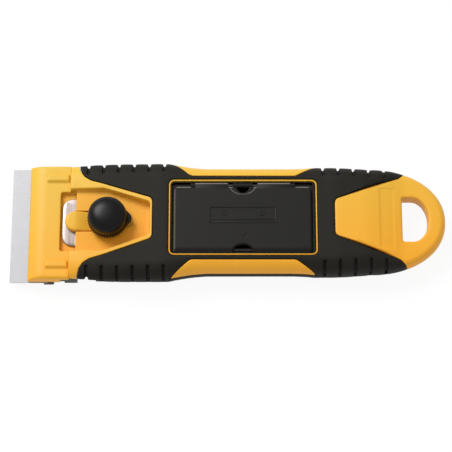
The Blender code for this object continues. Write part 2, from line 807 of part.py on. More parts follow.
def cut_mechanism_channel(body):
    """Room for the head's deck, and below it for the carriage's tail."""
    front = LOWER_FRONT_X - OVERRUN
    half = DECK_TAIL_HALF + GAP
    rear = DECK_REAR_X + GAP
    cut(body, block("deck", (front, -half, DECK_BOTTOM - GAP), (rear, half, HANDLE_HEIGHT)))
    half = CARRIAGE_TAIL_HALF + GAP
    rear = CARRIAGE_TAIL_X + BLADE_TRAVEL + GAP
    cut(body, block("tail", (front, -half, -OVERRUN), (rear, half, DECK_TOP)))


def groove_cutters():
    """Upright slabs at each groove, hollowed so that they only reach a groove's depth into the skin."""
    places = [FRONT_GROOVE_X + GROOVE_PITCH * i for i in range(FRONT_GROOVES)]
    places += [REAR_GROOVE_X + GROOVE_PITCH * i for i in range(REAR_GROOVES)]
    slabs = []
    for x in places:
        inner = half_width_at(x) - GROOVE_REACH
        for side in (1, -1):
            near, far = sorted((inner * side, (GRIP_HALF_WIDTH + OVERRUN) * side))
            low = (x - GROOVE_WIDTH / 2, near, GROOVE_FLOOR_Z)
            high = (x + GROOVE_WIDTH / 2, far, HANDLE_HEIGHT + OVERRUN)
            slabs.append(block("groove", low, high))
    return cut(gathered("grooves", slabs), pebble("under", GROOVE_DEPTH))


def make_top_grip():
    body = cut(pebble("top_grip", 0), pebble("inner", SKIN))
    cut(body, between(-OVERRUN, SHELL_BASE))
    cut(body, *field_prisms(GAP, True))
    return cut(body, groove_cutters())


def make_bottom_grip():
    body = cut(pebble("bottom_grip", 0), pebble("inner", SKIN))
    cut(body, between(LOWER_TOP, HANDLE_HEIGHT + OVERRUN))
    cut(body, between(-OVERRUN, HANDLE_HEIGHT, rear=LOWER_FRONT_X))
    cut(body, *field_prisms(GAP, False))
    half = CARRIAGE_TAIL_HALF + GAP
    front, rear = LOWER_FRONT_X - OVERRUN, CARRIAGE_TAIL_X + BLADE_TRAVEL + GAP
    cut(body, block("tail", (front, -half, -OVERRUN), (rear, half, HANDLE_HEIGHT)))
    for x, y in shell_screw_places():
        cut(body, bore(x, y, SCREW_HEAD_RADIUS + GAP, -OVERRUN, HANDLE_HEIGHT))
    return cut(body, groove_cutters())


# Head, blade and carriage


def head_profile():
    """Side view of the head: a rounded brow down to a thin lip above the blade."""
    profile = [(HEAD_REAR_X, DECK_BOTTOM), (HEAD_FRONT_X, DECK_BOTTOM)]
    for i in range(NOSE_ARC_STEPS + 1):
        a = math.pi / 2 * i / NOSE_ARC_STEPS
        x = HEAD_BROW_X - (HEAD_BROW_X - HEAD_FRONT_X) * math.cos(a)
        profile.append((x, HEAD_LIP_TOP + (HEAD_TOP - HEAD_LIP_TOP) * math.sin(a)))
    profile.append((HEAD_REAR_X, HEAD_TOP))
    return profile


def bump(side):
    """One raised bump on the head: a long half round with rounded ends."""
    levels = [(0, HEAD_TOP - HEAD_ROUND)]
    for k in range(ARC_STEPS + 1):
        a = math.pi / 2 * k / ARC_STEPS
        draw = BUMP_WIDTH / 2 * (1 - math.cos(a)) * BUMP_DRAW_SHARE
        levels.append((draw, HEAD_TOP + BUMP_HEIGHT * math.sin(a)))
    rings = []
    for draw, z in levels:
        x, y = BUMP_LENGTH / 2 - draw, BUMP_WIDTH / 2 - draw
        outline = rectangle(BUMP_X - x, BUMP_X + x, side * BUMP_Y - y, side * BUMP_Y + y)
        rings.append([(p, q, z) for p, q in filleted(outline, y * BUMP_CORNER_SHARE)])
    return from_rings("bump", rings)


def make_head():
    top = HEAD_TOP + OVERRUN
    body = side_prism("head_cover", head_profile(), HEAD_HALF)
    bevelled(body, HEAD_ROUND, HEAD_ROUND_STEPS, math.radians(80))
    cut(body, between(0, DECK_BOTTOM, front=HEAD_FRONT_X - OVERRUN))
    join(body, bump(1), bump(-1))
    window = filleted(rectangle(WINDOW_FRONT_X, 0, -WINDOW_HALF, WINDOW_HALF), HEAD_CORNER)
    cut(body, prism("window", window, DECK_TOP, top))
    edge = HEAD_HALF + OVERRUN
    for side in (1, -1):
        near, far = sorted((NOTCH_HALF * side, edge * side))
        cut(body, block("notch", (NOTCH_FRONT_X, near, 0), (0, far, BLOCK_TOP + GAP)))
    join(body, *deck_parts())
    half = STUD_RADIUS + INSERT_FLANGE
    cut(body, slot(half, KNOB_X - half, KNOB_X + BLADE_TRAVEL + half, 0, top))
    for x, y in head_screw_places():
        cut(body, bore(x, y, SCREW_HEAD_RADIUS + GAP, 0, HEAD_SCREW_SEAT_Z + GAP))
        cut(body, bore(x, y, SCREW_RADIUS + GAP, 0, top))
    return body


def deck_parts():
    """The deck that runs back under the handle, its broad front and the cheeks that the screws hold."""
    front = HEAD_REAR_X - DECK_LAP
    low, high = (front, -DECK_TAIL_HALF, DECK_BOTTOM), (DECK_REAR_X, DECK_TAIL_HALF, DECK_TOP)
    parts = [block("deck", low, high)]
    half = WINDOW_HALF + HEAD_ROUND
    parts.append(block("floor", (front, -half, DECK_BOTTOM), (CHEEK_REAR_X, half, DECK_TOP)))
    for side in (1, -1):
        near, far = sorted((WINDOW_HALF * side, NOTCH_HALF * side))
        parts.append(block("cheek", (front, near, DECK_BOTTOM), (CHEEK_REAR_X, far, LOWER_TOP)))
    return parts


def blade_mesh(name):
    """A single-edged blade, its edge at the -X side, centred on the origin at its underside."""
    front, rear = -BLADE_DEPTH / 2, BLADE_DEPTH / 2
    middle = BLADE_THICKNESS / 2
    profile = [
        (front, middle - BLADE_LAND / 2),
        (front + BLADE_GRIND, 0),
        (rear, 0),
        (rear, BLADE_THICKNESS),
        (front + BLADE_GRIND, BLADE_THICKNESS),
        (front, middle + BLADE_LAND / 2),
    ]
    body = side_prism(name, profile, BLADE_WIDTH / 2)
    for side in (1, -1):
        x = rear - BLADE_HOLE_BACK
        cut(body, bore(x, side * BLADE_HOLE_Y, BLADE_HOLE_RADIUS, -OVERRUN, OVERRUN))
    return body


def make_blade():
    return moved(blade_mesh("blade"), BLADE_EDGE_X + BLADE_DEPTH / 2, 0, BLADE_BOTTOM)


def make_spare_blades():
    middle = (FRAME_FRONT_X + FRAME_REAR_X) / 2
    floor = TRAY_BOTTOM + TRAY_FLOOR + GAP
    turned_mesh = blade_mesh("spare_blade_1")
    turned_mesh.data.transform(Matrix.Rotation(math.pi / 2, 4, "Z"))
    blades = [turned_mesh]
    for i in range(1, SPARE_COUNT):
        blades.append(new_object(f"spare_blade_{i + 1}", turned_mesh.data))
    for i, blade in enumerate(blades):
        blade.location = (middle, 0, floor + i * (BLADE_THICKNESS + SPARE_LIFT))
    return blades


def carriage_profile():
    """Side view: a thin lip under the blade, then a ramp down to the full thickness."""
    return [
        (CARRIAGE_FRONT_X, CARRIAGE_TOP - CARRIAGE_LIP),
        (CARRIAGE_FRONT_X + CARRIAGE_WEDGE, CARRIAGE_BOTTOM),
        (CARRIAGE_WIDE_REAR_X, CARRIAGE_BOTTOM),
        (CARRIAGE_WIDE_REAR_X, CARRIAGE_TOP),
        (CARRIAGE_FRONT_X, CARRIAGE_TOP),
    ]


def make_carriage():
    low = CARRIAGE_BOTTOM
    body = side_prism("blade_carriage", carriage_profile(), CARRIAGE_HALF)
    for side in (1, -1):
        near, far = sorted(((CARRIAGE_HALF - FOOT_DROP) * side, FOOT_HALF * side))
        foot = filleted(rectangle(FOOT_FRONT_X, FOOT_REAR_X, near, far), FOOT_REACH)
        join(body, prism("foot", foot, low - FOOT_DROP, CARRIAGE_TOP))
        near, far = sorted((BLOCK_INNER * side, BLOCK_HALF * side))
        join(body, block("block", (BLOCK_FRONT_X, near, low - FOOT_DROP), (BLOCK_REAR_X, far, BLOCK_TOP)))
        peg = bore(BLADE_HOLE_X, side * BLADE_HOLE_Y, BLADE_HOLE_RADIUS - GAP, low + FOOT_DROP, BLADE_TOP)
        join(body, peg)
    front, half = CARRIAGE_WIDE_REAR_X - CARRIAGE_WEDGE, CARRIAGE_TAIL_HALF
    tail = filleted(rectangle(front, CARRIAGE_TAIL_X, -half, half), CARRIAGE_CORNER)
    join(body, prism("tail", tail, low, CARRIAGE_TOP))
    cut(body, bore(KNOB_X, 0, INSERT_RADIUS + GAP, 0, HANDLE_HEIGHT))
    cut(body, bore(KNOB_X, 0, INSERT_FLANGE_RADIUS + GAP, 0, low + INSERT_FLANGE + GAP))
    return body


def make_insert():
    """Flanged brass bush under the carriage, which takes the stud."""
    low = CARRIAGE_BOTTOM
    profile = (
        (INSERT_FLANGE_RADIUS, low),
        (INSERT_FLANGE_RADIUS, low + INSERT_FLANGE),
        (INSERT_RADIUS, low + INSERT_FLANGE),
        (INSERT_RADIUS, CARRIAGE_TOP),
    )
    body = turned("threaded_insert", profile)
    return moved(cut(body, bore(0, 0, STUD_RADIUS + GAP, -OVERRUN, OVERRUN)), KNOB_X, 0, 0)


# Knob and what it clamps


def make_plate():
    outline = rectangle(PLATE_FRONT_X, PLATE_REAR_X, -PLATE_HALF, PLATE_HALF)
    body = prism("pressure_plate", filleted(outline, PLATE_CORNER), PLATE_BOTTOM, PLATE_TOP)
    return cut(body, bore(KNOB_X, 0, STUD_RADIUS + GAP, 0, HANDLE_HEIGHT))


def make_nose():
    """Round-ended tongue that carries the knob's pull into the plate; its thin foot closes the slot."""
    outline = tongue_outline(NOSE_FRONT_X, NOSE_BEND_X, NOSE_REAR_X)
    body = prism("slider_nose", outline, SHELL_BASE, NOSE_TOP)
    bevelled(body, NOSE_ROUND, NOSE_ROUND_STEPS, math.radians(60))
    half, top = NOSE_FOOT_HALF, SHELL_BASE + NOSE_FOOT
    join(body, block("foot", (KNOB_X, -half, SHELL_BASE), (NOSE_FOOT_REAR_X, half, top)))
    return cut(body, bore(KNOB_X, 0, STUD_RADIUS + GAP, 0, HANDLE_HEIGHT))


def knob_base():
    """Height of the knob's underside."""
    return NOSE_TOP + GAP + WASHER_THICKNESS + GAP


def make_washer():
    low = NOSE_TOP + GAP
    profile = ((WASHER_RADIUS, low), (WASHER_RADIUS, low + WASHER_THICKNESS))
    body = turned("knob_washer", profile, OVAL_STEPS)
    return moved(cut(body, bore(0, 0, STUD_RADIUS + GAP, 0, HANDLE_HEIGHT)), KNOB_X, 0, 0)


def knob_levels():
    """Radius, height above the knob's base and whether the ring is knurled, from bottom to top."""
    levels = [
        (SKIRT_RADIUS - KNURL_DEPTH, 0, False),
        (SKIRT_RADIUS, KNURL_DEPTH, True),
        (SKIRT_RADIUS, SKIRT_HEIGHT - KNURL_DEPTH, True),
        (DOME_RADIUS + KNURL_DEPTH, SKIRT_HEIGHT, False),
        (DOME_RADIUS, SKIRT_HEIGHT + KNURL_DEPTH, False),
    ]
    top = SKIRT_HEIGHT + DOME_HEIGHT
    for k in range(DOME_ROUND_STEPS + 1):
        a = math.pi / 2 * k / DOME_ROUND_STEPS
        radius = DOME_RADIUS - DOME_ROUND * (1 - math.cos(a))
        levels.append((radius, top - DOME_ROUND * (1 - math.sin(a)), False))
    flat = DOME_RADIUS - DOME_ROUND
    levels += [(flat * out, top + DOME_CROWN * rise, False) for out, rise in CROWN_SHARES]
    return levels


def make_knob():
    base = knob_base()
    rings = []
    for radius, rise, knurled in knob_levels():
        ring = []
        for i in range(2 * KNURL_COUNT):
            a = math.pi * (i + 0.5) / KNURL_COUNT
            here = radius - (KNURL_DEPTH if knurled and i % 2 else 0)
            ring.append((here * math.cos(a), here * math.sin(a), base + rise))
        rings.append(ring)
    body = from_rings("knob", rings)
    join(body, knob_nub(base))
    cut(body, bore(0, 0, STUD_RADIUS + GAP, 0, base + STUD_SINK + GAP))
    return moved(body, KNOB_X, 0, 0)


def knob_nub(base):
    """Pointer on the skirt, toward the handle."""
    outline = [
        (DOME_RADIUS - NUB_HALF, -NUB_HALF),
        (DOME_RADIUS, -NUB_HALF),
        (NUB_REACH, -NUB_HALF / 3),
        (NUB_REACH, NUB_HALF / 3),
        (DOME_RADIUS, NUB_HALF),
        (DOME_RADIUS - NUB_HALF, NUB_HALF),
    ]
    return prism("nub", outline, base + KNURL_DEPTH, base + SKIRT_HEIGHT - KNURL_DEPTH)


def make_stud():
    low, high = CARRIAGE_BOTTOM, knob_base() + STUD_SINK
    profile = (
        (STUD_RADIUS - GAP, low),
        (STUD_RADIUS, low + GAP),
        (STUD_RADIUS, high - GAP),
        (STUD_RADIUS - GAP, high),
    )
    return moved(turned("knob_stud", profile), KNOB_X, 0, 0)


# Compartment


def knuckle_starts():
    """Where the lid's two knuckles start along X."""
    return [COVER_MIDDLE_X + side * KNUCKLE_SPREAD / 2 - KNUCKLE_LENGTH / 2 for side in (-1, 1)]


def lug_spans():
    """Start and end of the tray's three lugs, one each side of the knuckles and one between them."""
    first, second = knuckle_starts()
    front = first - GAP
    rear = second + KNUCKLE_LENGTH + GAP
    half = MIDDLE_LUG_LENGTH / 2
    middle = (COVER_MIDDLE_X - half, COVER_MIDDLE_X + half)
    return ((front - LUG_LENGTH, front), middle, (rear, rear + LUG_LENGTH))


def make_tray():
    flange_low = TRAY_FLANGE_TOP - TRAY_FLANGE
    body = prism("blade_tray", pocket_outline(-GAP), flange_low, TRAY_FLANGE_TOP)
    join(body, prism("wall", well_outline(TRAY_WALL), TRAY_BOTTOM, TRAY_RIM_TOP))
    for start, end in lug_spans():
        join(body, hinge_boss("lug", start, end, HINGE_Y - KNUCKLE_RADIUS, flange_low))
    cut(body, prism("well", well_outline(0), TRAY_BOTTOM + TRAY_FLOOR, HANDLE_HEIGHT + OVERRUN))
    near, far = HINGE_Y - KNUCKLE_RADIUS - GAP, FRAME_HALF - FRAME_WALL
    for start in knuckle_starts():
        end = start + KNUCKLE_LENGTH + GAP
        cut(body, block("relief", (start - GAP, near, TRAY_FLANGE_TOP), (end, far, HANDLE_HEIGHT)))
    first, last = lug_spans()[0][0] - OVERRUN, lug_spans()[-1][1] + OVERRUN
    return cut(body, rod_along_x("pin", PIN_RADIUS + PIN_FIT, first, last, HINGE_Y, HINGE_Z))


def hinge_boss(name, start, end, near, low):
    """A round barrel on the hinge's axis, standing on a foot."""
    barrel = rod_along_x(name, KNUCKLE_RADIUS, start, end, HINGE_Y, HINGE_Z)
    foot = block("foot", (start, near, low), (end, HINGE_Y + KNUCKLE_RADIUS, HINGE_Z))
    return join(barrel, foot)


def make_hinge_pin():
    spans = lug_spans()
    place = (spans[0][0], spans[-1][1], HINGE_Y, HINGE_Z)
    return rod_along_x("hinge_pin", PIN_RADIUS, *place, SMALL_ROUND_STEPS)


def make_cover():
    low = TRAY_RIM_TOP + GAP
    high = low + COVER_THICKNESS
    outline = rectangle(COVER_FRONT_X, COVER_REAR_X, -COVER_NEAR_HALF, COVER_FAR_HALF)
    outline = filleted(outline, COVER_CORNER)
    rings = [[(x, y, z) for x, y in outline] for z in (low, high - COVER_BEVEL)]
    rings.append([(x, y, high) for x, y in grown(outline, -COVER_BEVEL)])
    body = from_rings("compartment_cover", rings)
    near, far = HINGE_Y - KNUCKLE_RADIUS - GAP, HINGE_Y + KNUCKLE_RADIUS
    for start, end in lug_spans():
        cut(body, block("relief", (start - GAP, near, 0), (end + GAP, far, HANDLE_HEIGHT + OVERRUN)))
    for start in knuckle_starts():
        join(body, knuckle(start, low, high))
    spans = lug_spans()
    cut(body, rod_along_x("pin", PIN_RADIUS + PIN_FIT, spans[0][0], spans[-1][1], HINGE_Y, HINGE_Z))
    thumb = (COVER_MIDDLE_X, -COVER_NEAR_HALF, THUMB_NOTCH_HALF, THUMB_NOTCH_DEPTH)
    cut(body, oval("thumb", *thumb, 0))
    scoop = (COVER_MIDDLE_X, COVER_FAR_HALF, SCOOP_HALF, SCOOP_DEPTH)
    cut(body, oval("scoop", *scoop, high - SCOOP_SINK))
    return body


def knuckle(start, low, high):
    """One barrel of the lid's hinge, with the web that joins it to the lid."""
    end = start + KNUCKLE_LENGTH
    barrel = rod_along_x("knuckle", KNUCKLE_RADIUS, start, end, HINGE_Y, HINGE_Z)
    near = COVER_FAR_HALF - KNUCKLE_RADIUS
    return join(barrel, block("web", (start, near, low), (end, HINGE_Y, high - COVER_BEVEL)))


def oval(name, x, y, half_length, half_width, low):
    """An upright oval cutter."""
    turn = [2 * math.pi * i / OVAL_STEPS for i in range(OVAL_STEPS)]
    outline = [(x + half_length * math.cos(a), y + half_width * math.sin(a)) for a in turn]
    return prism(name, outline, low, HANDLE_HEIGHT + OVERRUN)


# Screws


def screw_mesh(name, length):
    """A cross-headed screw, head down, its shoulder at the origin."""
    low = -SCREW_HEAD_HEIGHT
    profile = (
        (SCREW_HEAD_FLAT, low),
        (SCREW_HEAD_RADIUS, low + SCREW_HEAD_HEIGHT / 3),
        (SCREW_HEAD_RADIUS, 0),
        (SCREW_RADIUS, 0),
        (SCREW_RADIUS, length - SCREW_TIP),
        (SCREW_RADIUS / 3, length),
    )
    body = turned(name, profile, SMALL_ROUND_STEPS)
    across, along = DRIVE_WIDTH / 2, DRIVE_LENGTH / 2
    for x, y in ((across, along), (along, across)):
        cut(body, block("drive", (-x, -y, low - OVERRUN), (x, y, low + DRIVE_DEPTH)))
    return body


def make_screws():
    screws = []
    kinds = (
        ("head_screw", head_screw_places(), HEAD_SCREW_SEAT_Z, HEAD_SCREW_LENGTH),
        ("shell_screw", shell_screw_places(), SHELL_SCREW_SEAT_Z, SHELL_SCREW_LENGTH),
    )
    for kind, places, seat, length in kinds:
        first = screw_mesh(f"{kind}_1", length)
        copies = [first]
        for i in range(1, len(places)):
            copies.append(new_object(f"{kind}_{i + 1}", first.data))
        for screw, (x, y) in zip(copies, places):
            screw.location = (x, y, seat)
        screws += copies
    return screws


# Materials and assembly


def painted(things, name, colour, roughness, metallic=0.0):
    """Give pieces one material and smooth their round faces."""
    material = bpy.data.materials.new(name)
    material.use_nodes = True
    shader = material.node_tree.nodes["Principled BSDF"]
    shader.inputs["Base Color"].default_value = (*colour, 1)
    shader.inputs["Roughness"].default_value = roughness
    shader.inputs["Metallic"].default_value = metallic
    for thing in things:
        thing.data.materials.clear()
        thing.data.materials.append(material)
        thing.data.shade_smooth()
        thing.data.set_sharp_from_angle(angle=math.radians(35))


def pivoted(thing, x, y, z):
    """Move an object's origin to a point without moving its shape."""
    thing.data.transform(Matrix.Translation((-x, -y, -z)))
    thing.location = (x, y, z)
    return thing


def carried(parent_name, place, things):
    """Parent pieces that move together to an empty on their axis."""
    parent = bpy.data.objects.new(parent_name, None)
    bpy.context.scene.collection.objects.link(parent)
    parent.location = place
    for thing in things:
        thing.parent = parent
        thing.matrix_parent_inverse = Matrix.Translation(place).inverted()
    return parent


def main():
    for thing in list(bpy.data.objects):
        bpy.data.objects.remove(thing)
    upper, lower = make_upper_shell(), make_lower_shell()
    top_grip, bottom_grip = make_top_grip(), make_bottom_grip()
    head, blade, carriage, insert = make_head(), make_blade(), make_carriage(), make_insert()
    plate, nose, washer = make_plate(), make_nose(), make_washer()
    knob, stud = make_knob(), make_stud()
    tray, pin, cover = make_tray(), make_hinge_pin(), make_cover()
    spares, screws = make_spare_blades(), make_screws()
    painted([upper, lower, head, nose], "yellow_plastic", YELLOW, 0.38)
    painted([top_grip, bottom_grip], "soft_grip", SOFT_BLACK, 0.62)
    painted([carriage, knob, tray, cover], "black_plastic", HARD_BLACK, 0.34)
    painted([blade] + spares, "blade_steel", BLADE_STEEL, 0.24, 1.0)
    painted([plate], "bright_steel", PLATE_STEEL, 0.10, 1.0)
    painted([washer, stud, pin] + screws, "zinc_steel", ZINC, 0.32, 1.0)
    painted([insert], "brass", BRASS, 0.28, 1.0)
    for thing in (knob, stud, washer):
        pivoted(thing, KNOB_X, 0, 0)
    pivoted(cover, COVER_MIDDLE_X, HINGE_Y, HINGE_Z)
    sliding = [blade, carriage, insert, plate, nose, washer, knob, stud]
    carried("blade_slide", (KNOB_X, 0, BLADE_BOTTOM), sliding)


main()
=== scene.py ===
# %% [markdown]
# # Dressing a glass scraper
# The scraper lies flat on its back: a blade under a yellow head, a knurled knob, a two-tone handle with a
# lid over its spare blades, and a hanging loop. The solids give every place and size. This lesson makes
# the surfaces that the eye sees: soft edges, moulded textures, ground steel and plain soft light.

# %% Load the frame
import json
import math

import bmesh
import bpy
import numpy as np
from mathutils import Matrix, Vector
from mathutils.geometry import delaunay_2d_cdt


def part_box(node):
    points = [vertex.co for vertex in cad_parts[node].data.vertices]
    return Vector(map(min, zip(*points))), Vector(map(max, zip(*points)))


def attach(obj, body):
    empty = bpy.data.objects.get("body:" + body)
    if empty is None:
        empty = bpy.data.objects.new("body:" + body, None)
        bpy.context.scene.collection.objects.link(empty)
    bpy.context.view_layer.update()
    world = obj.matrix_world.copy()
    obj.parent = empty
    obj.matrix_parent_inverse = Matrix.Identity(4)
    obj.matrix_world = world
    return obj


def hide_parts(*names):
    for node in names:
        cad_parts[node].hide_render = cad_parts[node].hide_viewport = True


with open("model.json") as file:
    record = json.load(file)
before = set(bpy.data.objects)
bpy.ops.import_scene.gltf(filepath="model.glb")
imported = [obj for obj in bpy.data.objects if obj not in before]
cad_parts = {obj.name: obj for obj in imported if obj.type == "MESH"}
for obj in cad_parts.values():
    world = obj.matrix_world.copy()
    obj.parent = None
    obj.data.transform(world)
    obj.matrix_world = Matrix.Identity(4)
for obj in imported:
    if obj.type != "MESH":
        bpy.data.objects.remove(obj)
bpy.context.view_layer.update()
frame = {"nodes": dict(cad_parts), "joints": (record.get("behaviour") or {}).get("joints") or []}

MM = 0.001

# %% [markdown]
# ## Node sums as plain Python
# A finish is a small sum of noises. Wiring Math nodes by hand hides that sum, so one class wraps a socket
# and lets Python's own operators add the nodes. Every other kind of node comes from one function.

# %% A socket that can be added and multiplied


class Socket:
    """An output socket of a node tree that ordinary arithmetic works on."""

    def __init__(self, tree, socket):
        self.tree = tree
        self.socket = socket

    def maths(self, operation, first, second):
        return add_node(self.tree, "ShaderNodeMath", {"operation": operation}, {0: first, 1: second})

    def __add__(self, other):
        return self.maths("ADD", self, other)

    def __sub__(self, other):
        return self.maths("SUBTRACT", self, other)

    def __rsub__(self, other):
        return self.maths("SUBTRACT", other, self)

    def __mul__(self, other):
        return self.maths("MULTIPLY", self, other)

    __radd__ = __add__
    __rmul__ = __mul__


def add_node(tree, kind, settings, values, output=0):
    """Add one node: its settings first, then the values or links of its sockets."""
    node = tree.nodes.new(kind)
    for name, value in settings.items():
        setattr(node, name, value)
    for key, value in values.items():
        if isinstance(value, Socket):
            tree.links.new(value.socket, node.inputs[key])
        else:
            node.inputs[key].default_value = value
    return Socket(tree, node.outputs[output])


# %% [markdown]
# A finish is one Principled shader. Its patterns read the piece's own coordinates, so that they lie still
# on the piece when it moves. Numbers that never vary are set on the shader's sockets and need no node.

# %% A material with its own coordinates


class Finish:
    """A Principled material whose patterns read the piece's own coordinates."""

    def __init__(self, name, colour, roughness, metallic=0.0, **constants):
        self.material = bpy.data.materials.new(name)
        self.material.use_nodes = True
        self.tree = self.material.node_tree
        self.shader = self.tree.nodes["Principled BSDF"]
        fixed = {"Base_Color": (*colour, 1), "Roughness": roughness, "Metallic": metallic, **constants}
        for key, value in fixed.items():
            self.shader.inputs[key.replace("_", " ")].default_value = value
        self.place = self.node("ShaderNodeTexCoord", {}, {}, "Object")

    def node(self, kind, settings, values, output=0):
        return add_node(self.tree, kind, settings, values, output)

    def noise(self, size, detail=2.0, stretch=(1, 1, 1)):
        """Noise from nought to one in blotches of about this size, drawn out along the axes by stretch."""
        scale = tuple(1 / side for side in stretch)
        place = self.node("ShaderNodeMapping", {}, {"Vector": self.place, "Scale": scale})
        return self.node("ShaderNodeTexNoise", {}, {"Vector": place, "Scale": 1 / size, "Detail": detail})

    def attribute(self, name):
        """A share that the piece's mesh carries at each of its corners."""
        return self.node("ShaderNodeAttribute", {"attribute_name": name}, {}, "Fac")

    def feed(self, key, value):
        self.tree.links.new(value.socket, self.shader.inputs[key])

    def paint(self, share, dark, light):
        """Let the base colour go from dark to light with a share."""
        ends = {0: share, 6: (*dark, 1), 7: (*light, 1)}
        self.feed("Base Color", self.node("ShaderNodeMix", {"data_type": "RGBA"}, ends, 2))

    def bump(self, height, depth, strength):
        normal = self.node("ShaderNodeBump", {}, {"Strength": strength, "Distance": depth, "Height": height})
        self.feed("Normal", normal)


# %% [markdown]
# ## Yellow moulded plastic
# The shells and the head are moulded in one satin yellow. Real moulded plastic is never quite even. The
# colour goes from a warm yellow at the near side to a paler one at the far side and the head, which is a
# plain sum of two coordinates: this is painted light and shade, paler where the lamp falls and warmer on
# the side turned away from it. The colour also drifts a little over centimetres, and a fine spark-eroded
# grain breaks up the shine: two noises. Deep places are painted warmer too, as painted shade in the
# recesses. A material can't know how deep a spot lies, so the meshes carry that share in an attribute
# named sunk.

# %% Yellow plastic
WARM_YELLOW = (0.86, 0.37, 0.018)
PALE_YELLOW = (0.75, 0.465, 0.050)
PAINTED_LIGHT_WIDTH = 60 * MM
PAINTED_LIGHT_SLANT = 0.12
DRIFT_SHARE = 0.2
PAINTED_SHADE_SHARE = 0.6

yellow = Finish("yellow_satin", WARM_YELLOW, 0.42, Specular_IOR_Level=0.3)
drift = yellow.noise(22 * MM)
grain = yellow.noise(0.35 * MM, 1.0)
along, across = [yellow.node("ShaderNodeSeparateXYZ", {}, {"Vector": yellow.place}, axis) for axis in (0, 1)]
# Painted light: the colour pales towards the far side and the head, where the lamp falls.
painted_light = (across - PAINTED_LIGHT_SLANT * along) * (1 / PAINTED_LIGHT_WIDTH) + 0.5
# Painted shade: corners that lie deep, by their sunk share, go warmer.
tint = (1 - DRIFT_SHARE) * (painted_light - PAINTED_SHADE_SHARE * yellow.attribute("sunk")) + DRIFT_SHARE * drift
yellow.paint(tint, WARM_YELLOW, PALE_YELLOW)
yellow.feed("Roughness", 0.36 + 0.12 * grain + 0.06 * drift)
yellow.bump(grain, 0.02 * MM, 0.5)

# %% [markdown]
# ## Black rubber
# The skin is a soft black rubber over the hard core. It is darker and duller than the lid, with a leathery
# grain that is felt more than seen, so a weak bump does it. Its shine is a little warm, and a tint on the
# shine gives that without making the black itself paler.

# %% Rubber
WARM_SHINE = (1.0, 0.95, 0.84, 1.0)
RUBBER_BLACK = (0.010, 0.0090, 0.0075)
rubber = Finish("soft_rubber", RUBBER_BLACK, 0.6, Specular_IOR_Level=0.21, Specular_Tint=WARM_SHINE)
dust = rubber.noise(9 * MM)
pores = rubber.noise(0.5 * MM)
rubber.paint(dust, (0.008, 0.0070, 0.0055), (0.013, 0.0115, 0.0095))
rubber.feed("Roughness", 0.52 + 0.16 * pores + 0.06 * dust)
rubber.bump(pores, 0.04 * MM, 0.6)

# %% [markdown]
# ## Black plastic
# The lid has a fine etched grain, and its rim is painted pale: a painted highlight along its edges. Where
# it is painted comes from an attribute again. The knob is smoother, polished by fingers, so it takes a soft
# highlight.

# %% Black plastics
LID_SHINE = (1.0, 0.98, 0.92, 1.0)
LID_BLACK = (0.006, 0.0058, 0.005)
black = Finish("grained_black", LID_BLACK, 0.45, Specular_IOR_Level=0.24, Specular_Tint=LID_SHINE)
etched = black.noise(0.4 * MM)
# Painted highlight: the rim's corners marked in the attribute are painted pale.
black.paint(black.attribute("rubbed"), LID_BLACK, (0.24, 0.215, 0.19))
black.feed("Roughness", 0.40 + 0.16 * etched)
black.bump(etched, 0.03 * MM, 0.6)

smooth_black = Finish("handled_black", (0.0015, 0.0015, 0.0018), 0.38, Specular_IOR_Level=0.24)
handled = smooth_black.noise(5 * MM, 3.0)
skin_grain = smooth_black.noise(0.35 * MM, 1.0)
smooth_black.feed("Roughness", 0.27 + 0.10 * handled + 0.05 * skin_grain)
smooth_black.bump(skin_grain, 0.012 * MM, 0.4)

# %% [markdown]
# ## Steels and brass
# The blade is ground, so its scratches run square to its edge, along X. The edge itself is honed on a
# finer stone, along Y, and looks darker. The pressure plate is polished and shows faint streaks along Y;
# their warm brown colour is a painted reflection of the yellow plastic beside it. A scratch is only a noise
# that is drawn out along one axis. The small hardware is zinc plated, with a slightly mottled shine.

# %% Metals
steel = Finish("ground_steel", (0.37, 0.37, 0.38), 0.5, 1.0)
scratches = steel.noise(0.25 * MM, stretch=(30, 1, 1))
clouds = steel.noise(14 * MM)
steel.paint(clouds, (0.36, 0.36, 0.372), (0.385, 0.385, 0.397))
steel.feed("Roughness", 0.46 + 0.12 * scratches)
steel.bump(scratches, 0.004 * MM, 0.4)

honed = Finish("honed_edge", (0.28, 0.28, 0.29), 0.5, 1.0)
honing = honed.noise(0.2 * MM, stretch=(1, 25, 1))
honed.paint(honing, (0.26, 0.26, 0.27), (0.30, 0.30, 0.31))
honed.feed("Roughness", 0.46 + 0.12 * honing)

bright = Finish("bright_plate", (0.42, 0.38, 0.36), 0.34, 1.0)
streaks_and_reflection = bright.noise(0.8 * MM, stretch=(1, 40, 1))
bright.feed("Roughness", 0.28 + 0.14 * streaks_and_reflection)
# The warm brown end of the streaks is a painted reflection of the yellow plastic.
bright.paint(streaks_and_reflection, (0.22, 0.13, 0.095), (0.44, 0.42, 0.41))

zinc = Finish("zinc_plate", (0.56, 0.56, 0.54), 0.34, 1.0)
mottle = zinc.noise(1.2 * MM)
zinc.paint(mottle, (0.50, 0.50, 0.48), (0.62, 0.62, 0.60))
zinc.feed("Roughness", 0.28 + 0.14 * mottle)

brass = Finish("turned_brass", (0.66, 0.45, 0.16), 0.30, 1.0)
tarnish = brass.noise(1.5 * MM)
brass.paint(tarnish, (0.58, 0.38, 0.13), (0.70, 0.50, 0.20))
brass.feed("Roughness", 0.24 + 0.12 * tarnish)
print("finishes:", len(bpy.data.materials))

# %% [markdown]
# ## The handle's body as a formula
# The handle is one smooth pebble. Its plan, its top line and its belly are three curves along its length,
# and a fourth says how round its sides are. Each is a short table of shares, read by an interpolation that
# never overshoots. A modelled mesh would need its curves drawn again for every piece; a formula gives the
# surface and its normal at any spot of the plan.

